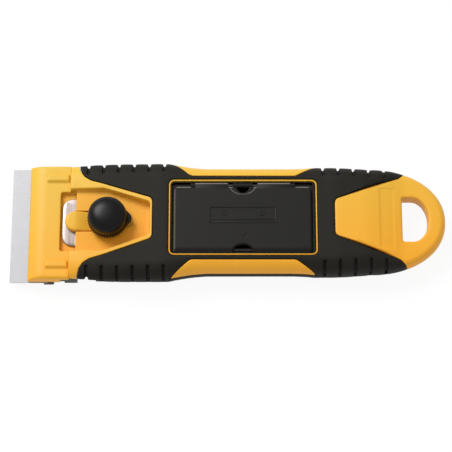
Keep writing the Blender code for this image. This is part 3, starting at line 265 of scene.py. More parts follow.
# %% The pebble's curves
upper_low, upper_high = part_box("upper_shell")
HANDLE_FRONT, TIP = upper_low.x, upper_high.x
LENGTH = TIP - HANDLE_FRONT
HALF_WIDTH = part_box("top_grip")[1].y
HEIGHT = 19.8 * MM
LOOP_LIFT = 6.0 * MM
SPLIT = 10.0 * MM
SIDE_ROUND = 8.5 * MM
BELLY_ROUND = 7.0 * MM
PLAN_SHARES = ((0.000, 0.955), (0.070, 0.988), (0.155, 1.000), (0.255, 1.000), (0.287, 0.965), (0.329, 0.925),
               (0.370, 0.907), (0.580, 0.906), (0.626, 0.914), (0.650, 0.928), (0.700, 0.926), (0.760, 0.908),
               (0.801, 0.891))
TOP_SHARES = ((0.000, 0.758), (0.059, 0.793), (0.202, 0.904), (0.260, 0.955), (0.655, 0.955), (0.716, 0.992),
              (0.775, 0.992), (0.843, 0.889), (0.891, 0.775), (1.000, 0.758))
BELLY_SHARES = ((0.000, 0.0), (0.737, 0.0), (0.820, 0.45), (0.896, 1.0), (1.000, 1.0))
ROUND_SHARES = ((0.000, 1.0), (0.780, 1.0), (0.890, 0.42), (1.000, 0.42))


def eased(table, x):
    """Read a table of shares at places along X as a smooth curve that never overshoots its points."""
    spots, values = np.array(table).T
    share = np.clip((np.asarray(x, float) - HANDLE_FRONT) / LENGTH, spots[0], spots[-1])
    runs = np.diff(spots)
    slopes = np.diff(values) / runs
    left, right = slopes[:-1], slopes[1:]
    same_way = left * right > 0
    middle = np.where(same_way, 2 * left * right / np.where(same_way, left + right, 1), 0)
    tangents = np.concatenate((slopes[:1], middle, slopes[-1:]))
    i = np.clip(np.searchsorted(spots, share, side="right") - 1, 0, len(runs) - 1)
    t = (share - spots[i]) / runs[i]
    rise = values[i] * (1 + 2 * t) * (1 - t) ** 2 + values[i + 1] * t**2 * (3 - 2 * t)
    return rise + runs[i] * t * (1 - t) * ((1 - t) * tangents[i] - t * tangents[i + 1])


# %% The plan curve and its normals
STATIONS = 110
TAIL_STEPS = 40
FRONT_REACH = 10 * MM
FULL_BOW = 0.95
SMALL = 1e-9


def plan_side():
    """Points along the +Y side, from in front of the handle round to the tip."""
    tail = HANDLE_FRONT + LENGTH * PLAN_SHARES[-1][0]
    tail_half = HALF_WIDTH * PLAN_SHARES[-1][1]
    x = np.linspace(HANDLE_FRONT - FRONT_REACH, tail, STATIONS, endpoint=False)
    straight = np.stack((x, HALF_WIDTH * eased(PLAN_SHARES, x)), 1)
    turn = np.clip(np.linspace(math.pi / 2, 0, TAIL_STEPS + 1), 0, math.pi / 2 - SMALL)
    bow = np.stack((tail + (TIP - tail) * np.cos(turn) ** FULL_BOW, tail_half * np.sin(turn) ** FULL_BOW), 1)
    return np.concatenate((straight, bow))


def mirrored(half, shared=0):
    """Close a half outline with its mirror image across X. Points at its end that lie on X are shared."""
    half = np.asarray(half, float)
    return np.concatenate((half, (half * (1, -1))[::-1][shared:]))


SIDE = plan_side()
PLAN = mirrored(SIDE, 1)
STEPS = np.diff(PLAN, axis=0)
OUTWARD = np.stack((-STEPS[:, 1], STEPS[:, 0]), 1) / np.linalg.norm(STEPS, axis=1)[:, None]
print("plan curve:", len(PLAN), "points")

# %% [markdown]
# Two questions come back all the time: how far is a spot from an outline, and does it lie inside it? Both
# are answered for thousands of spots at once with arrays, in portions that fit in memory.

# %% Distance to an outline, and inside or not
PORTION = 3000
SHORTEST_SQUARE = 1e-18


def nearest(spots, line):
    """Distance of each spot to a line of points, and the number of the nearest stretch."""
    start, step = line[:-1], np.diff(line, axis=0)
    square = np.maximum((step**2).sum(1), SHORTEST_SQUARE)
    distances, stretches = [], []
    for k in range(0, len(spots), PORTION):
        away = spots[k : k + PORTION, None] - start[None]
        t = np.clip((away * step).sum(2) / square, 0, 1)
        gap = np.linalg.norm(away - t[..., None] * step, axis=2)
        nearest_stretch = gap.argmin(1)
        distances.append(gap[np.arange(len(gap)), nearest_stretch])
        stretches.append(nearest_stretch)
    return np.concatenate(distances), np.concatenate(stretches)


def closed(outline):
    outline = np.asarray(outline, float)
    return np.concatenate((outline, outline[:1]))


def away_from(spots, *outlines):
    """Distance to the nearest of several closed outlines."""
    return np.min([nearest(spots, closed(outline))[0] for outline in outlines], axis=0)


def inside(spots, outline):
    """Count how often a ray towards +X crosses the outline."""
    loop = closed(outline)
    x, y = spots[:, :1], spots[:, 1:]
    (x1, y1), (x2, y2) = loop[:-1].T, loop[1:].T
    crosses = (y1 > y) != (y2 > y)
    rise = np.where(y2 == y1, 1, y2 - y1)
    return ((crosses & (x < x1 + (y - y1) * (x2 - x1) / rise)).sum(1) % 2) == 1


def within_any(spots, outlines):
    return np.any([inside(spots, outline) for outline in outlines], axis=0)


def within_handle(spots):
    return inside(spots, PLAN) & (spots[:, 0] > HANDLE_FRONT)


# %% [markdown]
# The height over a spot follows a quarter circle from the plan curve inwards. The normal comes from the
# same formula, and it is what every skin's thickness and every groove is measured along.

# %% The pebble's surface
NUDGE = 0.5 * MM


def pebble(spots, under=False, inset=0.0):
    """Surface points and outward normals over spots of the plan, above the parting line or under it."""
    depth, stretch = nearest(spots, PLAN)
    x = spots[:, 0]
    radius = ((BELLY_ROUND if under else SIDE_ROUND) - inset / 2) * eased(ROUND_SHARES, x)

    def rise_at(place):
        if under:
            return SPLIT - LOOP_LIFT * eased(BELLY_SHARES, place) - inset
        return HEIGHT * eased(TOP_SHARES, place) - inset - SPLIT

    rise = rise_at(x)
    slope = (rise_at(x + NUDGE) - rise_at(x - NUDGE)) / (2 * NUDGE)
    cosine = np.clip(1 - (depth - inset) / radius, 0, 1)
    sine = np.sqrt(1 - cosine**2)
    up = -1 if under else 1
    places = np.column_stack((spots, SPLIT + up * rise * sine))
    normals = np.column_stack((OUTWARD[stretch] * (cosine / radius)[:, None], up * sine / rise))
    normals[:, 0] -= slope * sine / rise
    return places, normals / np.linalg.norm(normals, axis=1)[:, None]


def pressed_in(spots, sunk, under=False):
    """The pebble's surface, pressed in along its normals."""
    places, normals = pebble(spots, under)
    return places - normals * np.broadcast_to(sunk, len(spots))[:, None]


def at_height(spots, height):
    return np.column_stack((spots, np.broadcast_to(height, len(spots))))


# %% [markdown]
# ## From a plan to a body
# Every moulded surface here is made the same way. Its outlines, and rings a little inside them, are drawn
# in the plan. Blender's constrained triangulation fills them with triangles that follow every line. The
# corners are then lifted to their heights, which are sunk near an outline along a quarter circle: that is
# the soft moulded edge. Cutting with Booleans would leave the edges sharp, and a bevel over such cuts
# tears.

# %% Triangulate a plan
GRID = 1.7 * MM
MARGIN = 1 * MM
MERGE = 1e-6


def span(front, rear, half):
    """Two opposite corners of a rectangle of the plan that lies evenly about X."""
    return (front, -half), (rear, half)


def triangulated(chains, low, high, grid=GRID):
    """Triangles over a rectangle of the plan in which every chain of points stays an edge."""
    points, edges = [], []
    for chain in chains:
        first = len(points)
        points += [Vector(point) for point in chain]
        edges += [(i, i + 1) for i in range(first, len(points) - 1)]
    columns = np.arange(low[0], high[0] + grid, grid)
    for i, x in enumerate(columns):
        shift = grid / 2 if i % 2 else 0
        points += [Vector((x, y)) for y in np.arange(low[1] + shift, high[1] + grid, grid)]
    found, _, faces, *_ = delaunay_2d_cdt(points, edges, [], 0, MERGE)
    return np.array([tuple(point) for point in found]), np.array([tuple(face) for face in faces])


def between_sheets(plan, chosen, upper, lower):
    """Vertices and faces of the closed body between two sheets over the chosen part of a plan."""
    points, triangles = plan
    kept = triangles[chosen(points[triangles].mean(1))]
    used, index = np.unique(kept, return_inverse=True)
    index = index.reshape(-1, 3)
    spots = points[used]
    ends = np.concatenate((index[:, (0, 1)], index[:, (1, 2)], index[:, (2, 0)]))
    known = set(map(tuple, ends))
    rim = [(a, b) for a, b in known if (b, a) not in known]
    count = len(spots)
    faces = [tuple(face) for face in index] + [tuple(face[::-1] + count) for face in index]
    faces += [(a + count, b + count, b, a) for a, b in rim]
    return np.concatenate((upper(spots), lower(spots))), faces


def together(*bodies):
    """Put several closed bodies into one list of vertices and faces."""
    vertices, faces = [], []
    for points, polygons in bodies:
        start = len(vertices)
        vertices += [tuple(point) for point in points]
        faces += [tuple(int(i) + start for i in polygon) for polygon in polygons]
    return vertices, faces


# %% [markdown]
# A body becomes a piece when it is an object with its finish, attached to the body that it rides on, and
# when the solids it stands for are hidden. Shading is smooth but for edges that are sharper than a soft
# bend.

# %% From a body to a piece
SHARP = math.radians(42)


def placed(name, data):
    """A new object in the scene."""
    thing = bpy.data.objects.new(name, data)
    bpy.context.scene.collection.objects.link(thing)
    return thing


def welded(mesh, clean):
    """Join corners that lie together, then clean what that leaves."""
    build = bmesh.new()
    build.from_mesh(mesh)
    bmesh.ops.remove_doubles(build, verts=build.verts, dist=MERGE)
    clean(build)
    build.to_mesh(mesh)
    build.free()


def drop_slivers(build):
    bmesh.ops.dissolve_degenerate(build, edges=build.edges, dist=MERGE)


def handed_over(piece, body, nodes):
    """Attach a piece to the body that it rides on and hide the solids it stands for."""
    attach(piece, body)
    if nodes:
        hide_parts(*nodes)
    print(piece.name, "for", nodes or "no solid", "with", len(piece.data.polygons), "faces")


def smoothed(mesh):
    mesh.shade_smooth()
    mesh.set_sharp_from_angle(angle=SHARP)


def finished(name, faces_of, finish, body=None, nodes=()):
    """Make a piece from vertices and faces, welded, smooth and with its material."""
    vertices, faces = faces_of
    mesh = bpy.data.meshes.new(name)
    mesh.from_pydata([tuple(vertex) for vertex in vertices], [], [tuple(face) for face in faces])
    welded(mesh, drop_slivers)
    smoothed(mesh)
    mesh.materials.append(finish.material)
    piece = placed(name, mesh)
    if body:
        handed_over(piece, body, nodes)
    return piece


# %% [markdown]
# Outlines need two more tools: rounding their corners, and moving them in or out by a distance. The lip is
# the quarter circle by which a surface sinks as it comes near its edge.

# %% Rounded and grown outlines
CORNER_STEPS = 6
NEARLY_STRAIGHT = math.radians(172)
SHORTEST = 1e-12


def filleted(outline, radius, steps=CORNER_STEPS):
    """Round every corner of an outline, as far as its shorter side allows."""
    found = []
    outline = [Vector(point) for point in outline]
    for i, corner in enumerate(outline):
        before = outline[i - 1] - corner
        after = outline[(i + 1) % len(outline)] - corner
        opening = before.angle(after)
        if opening > NEARLY_STRAIGHT:
            found.append(tuple(corner))
            continue
        reach = min(radius / math.tan(opening / 2), before.length / 2, after.length / 2)
        start = corner + before.normalized() * reach
        end = corner + after.normalized() * reach
        for k in range(steps + 1):
            t = k / steps
            found.append(tuple((1 - t) ** 2 * start + 2 * t * (1 - t) * corner + t**2 * end))
    return np.array(found)


def grown(outline, by):
    """Move every side of an outline outwards by the same distance."""
    here = np.asarray(outline, float)
    before = here - np.roll(here, 1, 0)
    after = np.roll(here, -1, 0) - here
    area = (np.roll(here, 1, 0)[:, 0] * here[:, 1] - here[:, 0] * np.roll(here, 1, 0)[:, 1]).sum()
    turn = 1 if area > 0 else -1

    def normal(side):
        side = side / np.maximum(np.linalg.norm(side, axis=1), SHORTEST)[:, None]
        return np.stack((side[:, 1], -side[:, 0]), 1) * turn

    first, second = normal(before), normal(after)
    bisector = first + second
    bisector /= np.maximum(np.linalg.norm(bisector, axis=1), SHORTEST)[:, None]
    stretch = np.maximum((bisector * first).sum(1), 0.5)
    return here + bisector * (by / stretch)[:, None]


def rectangle(front, rear, near, far):
    return [(front, near), (rear, near), (rear, far), (front, far)]


def circle(x, y, radius, steps=28):
    turn = np.linspace(0, 2 * math.pi, steps, endpoint=False)
    return np.stack((x + radius * np.cos(turn), y + radius * np.sin(turn)), 1)


def lip(distance, radius):
    """How far a surface sinks at this distance from its edge."""
    short = np.clip(radius - distance, 0, radius)
    return radius - np.sqrt(radius**2 - short**2)


LIP_TURNS = (0, 20, 40, 62, 90)


def rings(outline, radius, side=-1):
    """The outline and the rings beside it at which the lip turns, inside it or outside."""
    steps = [radius * (1 - math.cos(math.radians(turn))) for turn in LIP_TURNS]
    return [closed(grown(outline, side * step)) for step in steps]


def step_lines(outline, width):
    """The two lines between which a surface steps down inside an outline."""
    return [closed(outline), closed(grown(outline, -width))]


# %% [markdown]
# ## Where yellow meets black
# The yellow shell rises through the rubber as two trapezoids, two flashes at the waist and a frame round
# the compartment. Their outlines are drawn once. The rubber uses the same ones, grown by the gap between
# the pieces.

# %% Yellow fields
GAP = 0.3 * MM
OVERRUN = 20 * MM
FAR_OUT = HALF_WIDTH + OVERRUN
FIELD_ROUND, FLASH_ROUND = 3.0 * MM, 4.0 * MM
FRONT_CURVE = ((-75.3, 29.4), (-74.3, 25.6), (-72.2, 22.5), (-68.9, 20.4), (-63.6, 18.9), (-37.9, 10.4))
REAR_CURVE = ((90.2, 25.2), (86.1, 21.2), (53.5, 9.2))
FLASH_FRONT, FLASH_REAR = -18.6 * MM, 33.9 * MM
FLASH_INNER = 22.05 * MM
FLASH_REAR_SLOPE = 1.55
FLASH_FRONT_SLOPES = {1: 1.0, -1: 1.2}


def field(end, curve):
    """A trapezoid with one end over the handle's end, and with sides that run in along a curve in mm."""
    half = [(end, FAR_OUT), (curve[0][0] * MM, FAR_OUT)] + [(x * MM, y * MM) for x, y in curve]
    return filleted(mirrored(half), FIELD_ROUND)


def flash(side):
    """A flash at the waist, which widens down over the handle's side."""
    drop = FAR_OUT - FLASH_INNER
    inner = [(FLASH_FRONT, FLASH_INNER), (FLASH_REAR, FLASH_INNER)]
    outer = [(FLASH_REAR + FLASH_REAR_SLOPE * drop, FAR_OUT),
             (FLASH_FRONT - FLASH_FRONT_SLOPES[side] * drop, FAR_OUT)]
    return filleted(np.array(inner + outer) * (1, side), FLASH_ROUND)


front_field = field(HANDLE_FRONT - OVERRUN, FRONT_CURVE)
rear_field = field(TIP + OVERRUN / 2, REAR_CURVE)
flashes = [flash(1), flash(-1)]
fields = [front_field, rear_field, *flashes]

# %% [markdown]
# The frame stands round the pocket that the tray and the lid lie in. In front of it is the recess of the
# knob, behind it a shallow plain panel, and in the loop the D-shaped hole: a straight side and half an
# ellipse.

# %% Frame, recess, hole and panel
tray_low, tray_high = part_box("blade_tray")
FRAME_WALL = 0.65 * MM
FRAME_SINK = 0.3 * MM
POCKET_NEAR, POCKET_FAR, POCKET_FRONT, POCKET_REAR = 0.7 * MM, 0.95 * MM, 0.65 * MM, 1.35 * MM
POCKET_ROUND = 2.4 * MM
pocket = filleted(rectangle(tray_low.x - POCKET_FRONT, tray_high.x + POCKET_REAR,
                            tray_low.y - POCKET_NEAR, tray_high.y + POCKET_FAR), POCKET_ROUND)
frame_outline = grown(pocket, FRAME_WALL)

RECESS_FLOOR = 12.2 * MM
RECESS_FRONT, RECESS_BEND, RECESS_REAR = -76.3 * MM, -62.0 * MM, -39.0 * MM
RECESS_HALF, RECESS_REAR_HALF, RECESS_ROUND = 16.3 * MM, 8.6 * MM, 2.0 * MM
recess = mirrored([(RECESS_FRONT - OVERRUN / 2, RECESS_HALF), (RECESS_BEND, RECESS_HALF),
                   (RECESS_REAR, RECESS_REAR_HALF)])
recess = filleted(recess, RECESS_ROUND)

HOLE_FRONT, HOLE_HALF, HOLE_REACH, HOLE_ROUND = 87.5 * MM, 11.5 * MM, 13.1 * MM, 1.2 * MM
CORNER_SHARE = 0.38
hole = [(HOLE_FRONT, HOLE_HALF)]
for a in [math.radians(degrees) for degrees in np.linspace(90, -90, 25)]:
    bulge = HOLE_REACH * (CORNER_SHARE + (1 - CORNER_SHARE) * math.cos(a))
    hole.append((HOLE_FRONT + bulge, HOLE_HALF * math.sin(a)))
hole = filleted(hole + [(HOLE_FRONT, -HOLE_HALF)], HOLE_ROUND)

PANEL_DEPTH, PANEL_SLOPE, PANEL_ROUND = 0.25 * MM, 0.35 * MM, 1.2 * MM
PANEL_FRONT, PANEL_REAR, PANEL_HALF = 75.6 * MM, 83.4 * MM, 15.6 * MM
panel = filleted(rectangle(PANEL_FRONT, PANEL_REAR, -PANEL_HALF, PANEL_HALF), PANEL_ROUND)
print("outlines:", len(front_field), len(rear_field), len(frame_outline), len(recess), len(hole))

# %% [markdown]
# ## Grooves of the grip
# Each side of the grip has short grooves that run in from the edge and end round. A groove is a capsule in
# the plan: the surface is pushed in along its own normal by half an ellipse across the capsule, and a
# shallow dip beside it rounds the shoulders. Pushing along the normal keeps the groove's depth on the
# steep sides as well.

# %% Groove field
PITCH = 7.7 * MM
GROOVE_HALF = 0.85 * MM
GROOVE_DEPTH = 1.25 * MM
SHOULDER = 0.22 * MM
REACH = 6.4 * MM
GROOVE_OVERRUN = 6 * MM
GROOVE_RING_SHARES = (1.0, 0.92, 0.7, 0.36, 0.0)
FIRST_GROOVES = {-70.5 * MM: 6, 48.0 * MM: 5}
groove_places = [first + PITCH * i for first, count in FIRST_GROOVES.items() for i in range(count)]


def groove_axis(x, side, reach=REACH):
    """The middle line of one groove, from outside the handle to where it ends."""
    edge = float(HALF_WIDTH * eased(PLAN_SHARES, x))
    return np.array([(x, side * (edge + GROOVE_OVERRUN)), (x, side * (edge - reach + GROOVE_HALF))])


def grooved(spots, reach=REACH):
    """How deep the grooves sink the surface at each spot."""
    depth = np.zeros(len(spots))
    for x in groove_places:
        near = np.abs(spots[:, 0] - x) < PITCH / 2
        if not near.any():
            continue
        for side in (1, -1):
            away = nearest(spots[near], groove_axis(x, side, reach))[0]
            cut = GROOVE_DEPTH * np.sqrt(np.clip(1 - (away / GROOVE_HALF) ** 2, 0, 1))
            shoulder = SHOULDER * np.exp(-((away / (1.5 * GROOVE_HALF)) ** 2))
            depth[near] = np.maximum(depth[near], cut + shoulder)
    return depth


def groove_rings(reach=REACH):
    chains = []
    for x in groove_places:
        for side in (1, -1):
            (_, start), (_, end) = groove_axis(x, side, reach)
            for share in GROOVE_RING_SHARES:
                half = GROOVE_HALF * share
                turn = [math.pi * k / 8 for k in range(9)] if share else [math.pi / 2]
                arc = [(x + half * math.cos(a), end - side * half * math.sin(a)) for a in turn]
                chains.append([(x + half, start)] + arc + [(x - half, start)])
    return chains


# %% [markdown]
# ## One plan for the whole top
# Yellow and black share one triangulation, so that their edges match exactly. It holds the handle's
# outline with the rings of its rounded side, every field's outline with its lip, the recess, the hole and
# the grooves.

# %% Lines round and across the handle
SIDE_TURNS = 14


def inset_plan(draw):
    """The handle's plan curve drawn in by a distance at each of its points."""
    normals = np.concatenate((OUTWARD[: len(SIDE) - 1], [(1, 0)]))
    half = SIDE - normals * np.broadcast_to(draw, len(SIDE))[:, None]
    half[-1, 1] = 0
    return mirrored(half, 1)


def side_rings(under=False, inset=0.0, turns=SIDE_TURNS):
    """Lines round the plan at which the handle's side turns by equal angles."""
    radius = ((BELLY_ROUND if under else SIDE_ROUND) - inset / 2) * eased(ROUND_SHARES, SIDE[:, 0])
    angles = np.linspace(0, math.pi / 2, turns + 1)
    return [inset_plan(inset + radius * (1 - math.cos(angle))) for angle in angles]


def cross_line(x):
    return [(x, -FAR_OUT), (x, FAR_OUT)]


def cross_lines(x, steps):
    """Lines across the handle beside x, at steps in mm."""
    return [cross_line(x + step * MM) for step in steps]


# %% Plan of the top
YELLOW_LIP = 0.35 * MM
RUBBER_LIP = 0.45 * MM
HOLE_LIP = 1.1 * MM
FRONT_LIP = 0.4 * MM
RECESS_LIP = 0.5 * MM
RECESS_FILLET = 1.2 * MM
FLASH_FOOT, SKIRT_EDGE = 0.32 * MM, 0.24 * MM
FLOOR_FRONT_STEPS = (0, 0.1, 0.3, 0.6)
TIGHT = 0.02 * MM
FOOT_ROOM = 0.9 * MM
FOOT_FRONT = -60.5 * MM
LOOP_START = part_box("lower_shell")[1].x + GAP
nose_low, nose_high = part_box("slider_nose")
slide_range = next(joint for joint in frame["joints"] if joint["name"] == "blade_slide")["range_m"][1]
foot_room = rectangle(FOOT_FRONT, nose_high.x + slide_range + GAP, -nose_high.y - GAP, nose_high.y + GAP)

chains = side_rings() + [inset_plan(FLASH_FOOT), inset_plan(SKIRT_EDGE)]
for outline in fields:
    chains += rings(outline, YELLOW_LIP)
    chains += rings(grown(outline, GAP), RUBBER_LIP, 1)
chains += rings(frame_outline, FRAME_WALL / 2) + rings(pocket, FRAME_WALL / 2, 1)
chains += rings(grown(frame_outline, GAP), RUBBER_LIP, 1)
chains += rings(recess, RECESS_LIP, 1) + rings(recess, RECESS_FILLET)
chains += rings(hole, HOLE_LIP, 1)
chains += step_lines(panel, PANEL_SLOPE)
for turn in LIP_TURNS:
    chains.append(cross_line(HANDLE_FRONT + FRONT_LIP * (1 - math.cos(math.radians(turn)))))
chains += [cross_line(LOOP_START - TIGHT), cross_line(LOOP_START + TIGHT)]
chains += cross_lines(RECESS_FRONT, FLOOR_FRONT_STEPS)
chains += groove_rings()
chains += step_lines(foot_room, TIGHT)
top_plan = triangulated(chains, *span(HANDLE_FRONT - 2 * MARGIN, TIP + MARGIN, HALF_WIDTH + MARGIN))
print("plan of the top:", len(top_plan[1]), "triangles")

# %% [markdown]
# ## The yellow shell
# All its fields sink at their edges by the same small lip. Its underside is flat, just above the parting
# line, and a little higher over the tongue's foot. The loop has the handle's full thickness, so there the
# underside follows the belly curve, and the hole through it gets a rounder lip on both faces.

# %% Yellow upper shell
SHELL_BASE = SPLIT + GAP / 2
FRAME_TOUCH = 0.1 * MM


def shell_base(spots):
    """Underside of the shell, higher over the room where the tongue's foot slides."""
    return np.where(inside(spots, grown(foot_room, -TIGHT / 2)), SHELL_BASE + FOOT_ROOM, SHELL_BASE)


def in_yellow(spots):
    high_up = nearest(spots, PLAN)[0] > FLASH_FOOT
    chosen = within_any(spots, flashes) & high_up
    chosen |= inside(spots, front_field) | inside(spots, rear_field)
    chosen &= ~inside(spots, recess) & ~inside(spots, hole)
    chosen &= (np.abs(spots[:, 1]) > RECESS_HALF) | (spots[:, 0] > RECESS_FRONT)
    chosen |= inside(spots, frame_outline) & ~inside(spots, pocket)
    return chosen & within_handle(spots)


def yellow_edge(spots):
    """How far the lips of the yellow fields sink each spot."""
    sunk = lip(spots[:, 0] - HANDLE_FRONT, FRONT_LIP)
    for outlines, radius in ((fields, YELLOW_LIP), ((frame_outline, pocket), FRAME_WALL / 2),
                             ((recess,), RECESS_LIP), ((hole,), HOLE_LIP)):
        sunk = np.maximum(sunk, lip(away_from(spots, *outlines), radius))
    return sunk


def panel_depth(spots):
    """A shallow plain panel in front of the hanging hole."""
    edge = np.clip(away_from(spots, panel) / PANEL_SLOPE, 0, 1)
    return np.where(inside(spots, panel), edge, 0) * PANEL_DEPTH


def yellow_top(spots):
    in_frame = inside(spots, grown(frame_outline, FRAME_TOUCH))
    places = pressed_in(spots, yellow_edge(spots) + FRAME_SINK * in_frame + panel_depth(spots))
    before_loop = spots[:, 0] < LOOP_START
    places[before_loop, 2] = np.maximum(places[before_loop, 2], SHELL_BASE)
    return places


def yellow_bottom(spots):
    places = pressed_in(spots, lip(away_from(spots, hole), HOLE_LIP), under=True)
    before_loop = spots[:, 0] < LOOP_START
    base = at_height(yellow_top(spots)[:, :2], shell_base(spots))
    places[before_loop] = base[before_loop]
    return places


yellow_shell = between_sheets(top_plan, in_yellow, yellow_top, yellow_bottom)

# %% [markdown]
# The knob sits in a recess of this shell. Its floor meets the walls in a fillet, which is the lip turned
# upside down, and a round-ended slot lets the tongue under the knob slide.

# %% Floor of the recess
TONGUE_HALF, TONGUE_REAR_HALF = 5.2 * MM, 3.3 * MM
TONGUE_BEND = -69.0 * MM
TONGUE_REAR = -56.9 * MM
SLOT_LIP = 0.2 * MM
FLOOR_EDGE = 0.6 * MM
FLOOR_HALF, FLOOR_REAR = 17 * MM, -38 * MM
SLIDE_OVERRUN = 12 * MM


def end_arc(x, radius, side):
    """Half circle about (x, 0), bulging toward side."""
    turn = np.linspace(-math.pi / 2, math.pi / 2, 13)
    return np.stack((x + side * radius * np.cos(turn), side * radius * np.sin(turn)), 1)


def tapered(front, bend, rear, by=0.0):
    """The tongue's round-ended outline, narrower behind its bend, offset outward by a distance."""
    half, rear_half = TONGUE_HALF + by, TONGUE_REAR_HALF + by
    front_end = end_arc(front + TONGUE_HALF, half, -1)
    rear_end = end_arc(rear - TONGUE_REAR_HALF, rear_half, 1)
    return np.concatenate((rear_end, [(bend, half)], front_end, [(bend, -half)]))


tongue_slot = tapered(RECESS_FRONT - SLIDE_OVERRUN, TONGUE_BEND + slide_range + GAP,
                      TONGUE_REAR + slide_range, GAP)
floor_chains = rings(recess, RECESS_FILLET) + rings(tongue_slot, SLOT_LIP, 1)
floor_chains += cross_lines(RECESS_FRONT, FLOOR_FRONT_STEPS) + step_lines(foot_room, TIGHT)
floor_plan = triangulated(floor_chains, *span(RECESS_FRONT - MARGIN, FLOOR_REAR, FLOOR_HALF))


def in_floor(spots):
    return inside(spots, recess) & (spots[:, 0] > RECESS_FRONT) & ~inside(spots, tongue_slot)


def floor_top(spots):
    rise = lip(away_from(spots, recess), RECESS_FILLET)
    sunk = lip(away_from(spots, tongue_slot), SLOT_LIP) + lip(spots[:, 0] - RECESS_FRONT, FLOOR_EDGE)
    return at_height(spots, RECESS_FLOOR + rise - sunk)


def floor_bottom(spots):
    return at_height(spots, shell_base(spots))


recess_floor = between_sheets(floor_plan, in_floor, floor_top, floor_bottom)

# %% [markdown]
# The yellow finish reads how deep a corner lies and paints deep corners warmer, as painted shade. Blender
# keeps such a share as an attribute of the mesh, a list with one number for each corner, which is written
# in one call.

# %% Depth for the painted shade
SINK_FULL = 3.5 * MM
SINK_RUN = 9 * MM


def sink(piece, outline, surface):
    """Give the finish each corner's depth under a surface, inside an outline, growing from its front, for
    painted shade.
    """
    places = np.zeros(3 * len(piece.data.vertices))
    piece.data.vertices.foreach_get("co", places)
    places = places.reshape(-1, 3)
    depth = np.clip((surface - places[:, 2]) / SINK_FULL, 0, 1) * inside(places[:, :2], outline)
    depth *= np.clip((places[:, 0] - np.array(outline)[:, 0].min()) / SINK_RUN, 0, 1)
    piece.data.attributes.new("sunk", "FLOAT", "POINT").data.foreach_set("value", depth.astype(np.float32))


shell_body = together(yellow_shell, recess_floor)
shell = finished("yellow_shell", shell_body, yellow, "handle", ["upper_shell"])
# The recess's deep corners are painted warmer: painted shade.
sink(shell, recess, RECESS_FLOOR + SINK_FULL)

# %% [markdown]
# ## The rubber skin
# The skin is the pebble again, two millimetres thick along its normals, with the fields' grown outlines
# cut away and the grooves pressed in. The upper half is one piece round the compartment. Under the two
# flashes it goes on as a low skirt, which shows as a thin black line below them.

# %% Upper rubber skin
SKIN = 2.0 * MM
rubber_holes = [grown(outline, GAP) for outline in [*fields, frame_outline]]
flash_holes = rubber_holes[2:4]


def in_rubber(spots):
    """Round the yellow fields, and in a low skirt under the two flashes."""
    skirt = within_any(spots, flash_holes) & (nearest(spots, PLAN)[0] < SKIRT_EDGE)
    return (~within_any(spots, rubber_holes) | skirt) & within_handle(spots)


def rubber_top(spots):
    places = pressed_in(spots, np.maximum(lip(away_from(spots, *rubber_holes), RUBBER_LIP), grooved(spots)))
    places[:, 2] = np.maximum(places[:, 2], SHELL_BASE)
    return places


def rubber_inner(spots):
    places = pressed_in(spots, SKIN)
    skirt = within_any(spots, flash_holes)
    places[skirt, :2] = spots[skirt]
    places[:, 2] = np.where(skirt, SHELL_BASE, np.maximum(places[:, 2], SHELL_BASE))
    return places


skin = between_sheets(top_plan, in_rubber, rubber_top, rubber_inner)
finished("rubber_top", skin, rubber, "handle", ["top_grip"])

# %% [markdown]
# ## Underside
# The lower half is made in the same way from the belly curve: the rubber under the grip, then the yellow
# core that shows between it and the loop, round the screws and in the channel of the carriage.

# %% Plan of the underside
SCREW_HEAD = 2.6 * MM
BORE_LIP = 0.3 * MM
CARRIAGE_TAIL_HALF = 9.7 * MM
CHANNEL_ROUND = 1.5 * MM
NECK_HALF = 13.6 * MM
WELL_INSET = 0.8 * MM
BELLY_REACH = 0.3 * MM
END_STEPS = (-0.5, -0.2, 0, 0.2, 0.5)
carriage_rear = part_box("blade_carriage")[1].x
lower_low, lower_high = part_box("lower_shell")
head_low, head_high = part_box("head_cover")
tail_half = CARRIAGE_TAIL_HALF + GAP
channel = rectangle(lower_low.x - SLIDE_OVERRUN, carriage_rear + slide_range + GAP, -tail_half, tail_half)
channel = filleted(channel, CHANNEL_ROUND)
bores = []
for i in (1, 2, 3, 4):
    low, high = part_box(f"shell_screw_{i}")
    place = (low + high) / 2
    bores.append(circle(place.x, place.y, SCREW_HEAD + GAP))
well = grown(rectangle(tray_low.x, tray_high.x, tray_low.y, tray_high.y), -WELL_INSET)
deck_room = rectangle(lower_low.x - MARGIN, head_high.x + GAP, -NECK_HALF - GAP, NECK_HALF + GAP)
rooms = [(well, tray_low.z - GAP), (deck_room, head_low.z - GAP)]

under_chains = side_rings(True) + side_rings(True, SKIN + GAP, 6)
under_chains += rings(rear_field, YELLOW_LIP) + rings(grown(rear_field, GAP), RUBBER_LIP, 1)
under_chains += rings(channel, RUBBER_LIP, 1)
for bore in bores:
    under_chains += rings(bore, BORE_LIP, 1)
for room, _ in rooms:
    under_chains += step_lines(room, TIGHT)
for end in (lower_low.x, lower_high.x):
    under_chains += cross_lines(end, END_STEPS)
under_chains += groove_rings(BELLY_REACH)
under_span = span(lower_low.x - 2 * MARGIN, lower_high.x + MARGIN, HALF_WIDTH + MARGIN)
under_plan = triangulated(under_chains, *under_span)
print("plan of the underside:", len(under_plan[1]), "triangles")

# %% [markdown]
# Both pieces of the underside end just below the parting line, so that a thin dark line parts the two
# halves.

# %% Lower rubber skin
LOWER_TOP = SPLIT - GAP / 2
BELLY_FRONT_LIP = 0.5 * MM
rear_gap = grown(rear_field, GAP)


def under_parting(places):
    places[:, 2] = np.minimum(places[:, 2], LOWER_TOP)
    return places


def in_lower_rubber(spots):
    chosen = inside(spots, PLAN) & (spots[:, 0] > lower_low.x) & ~inside(spots, rear_gap)
    return chosen & ~within_any(spots, [channel, *bores])


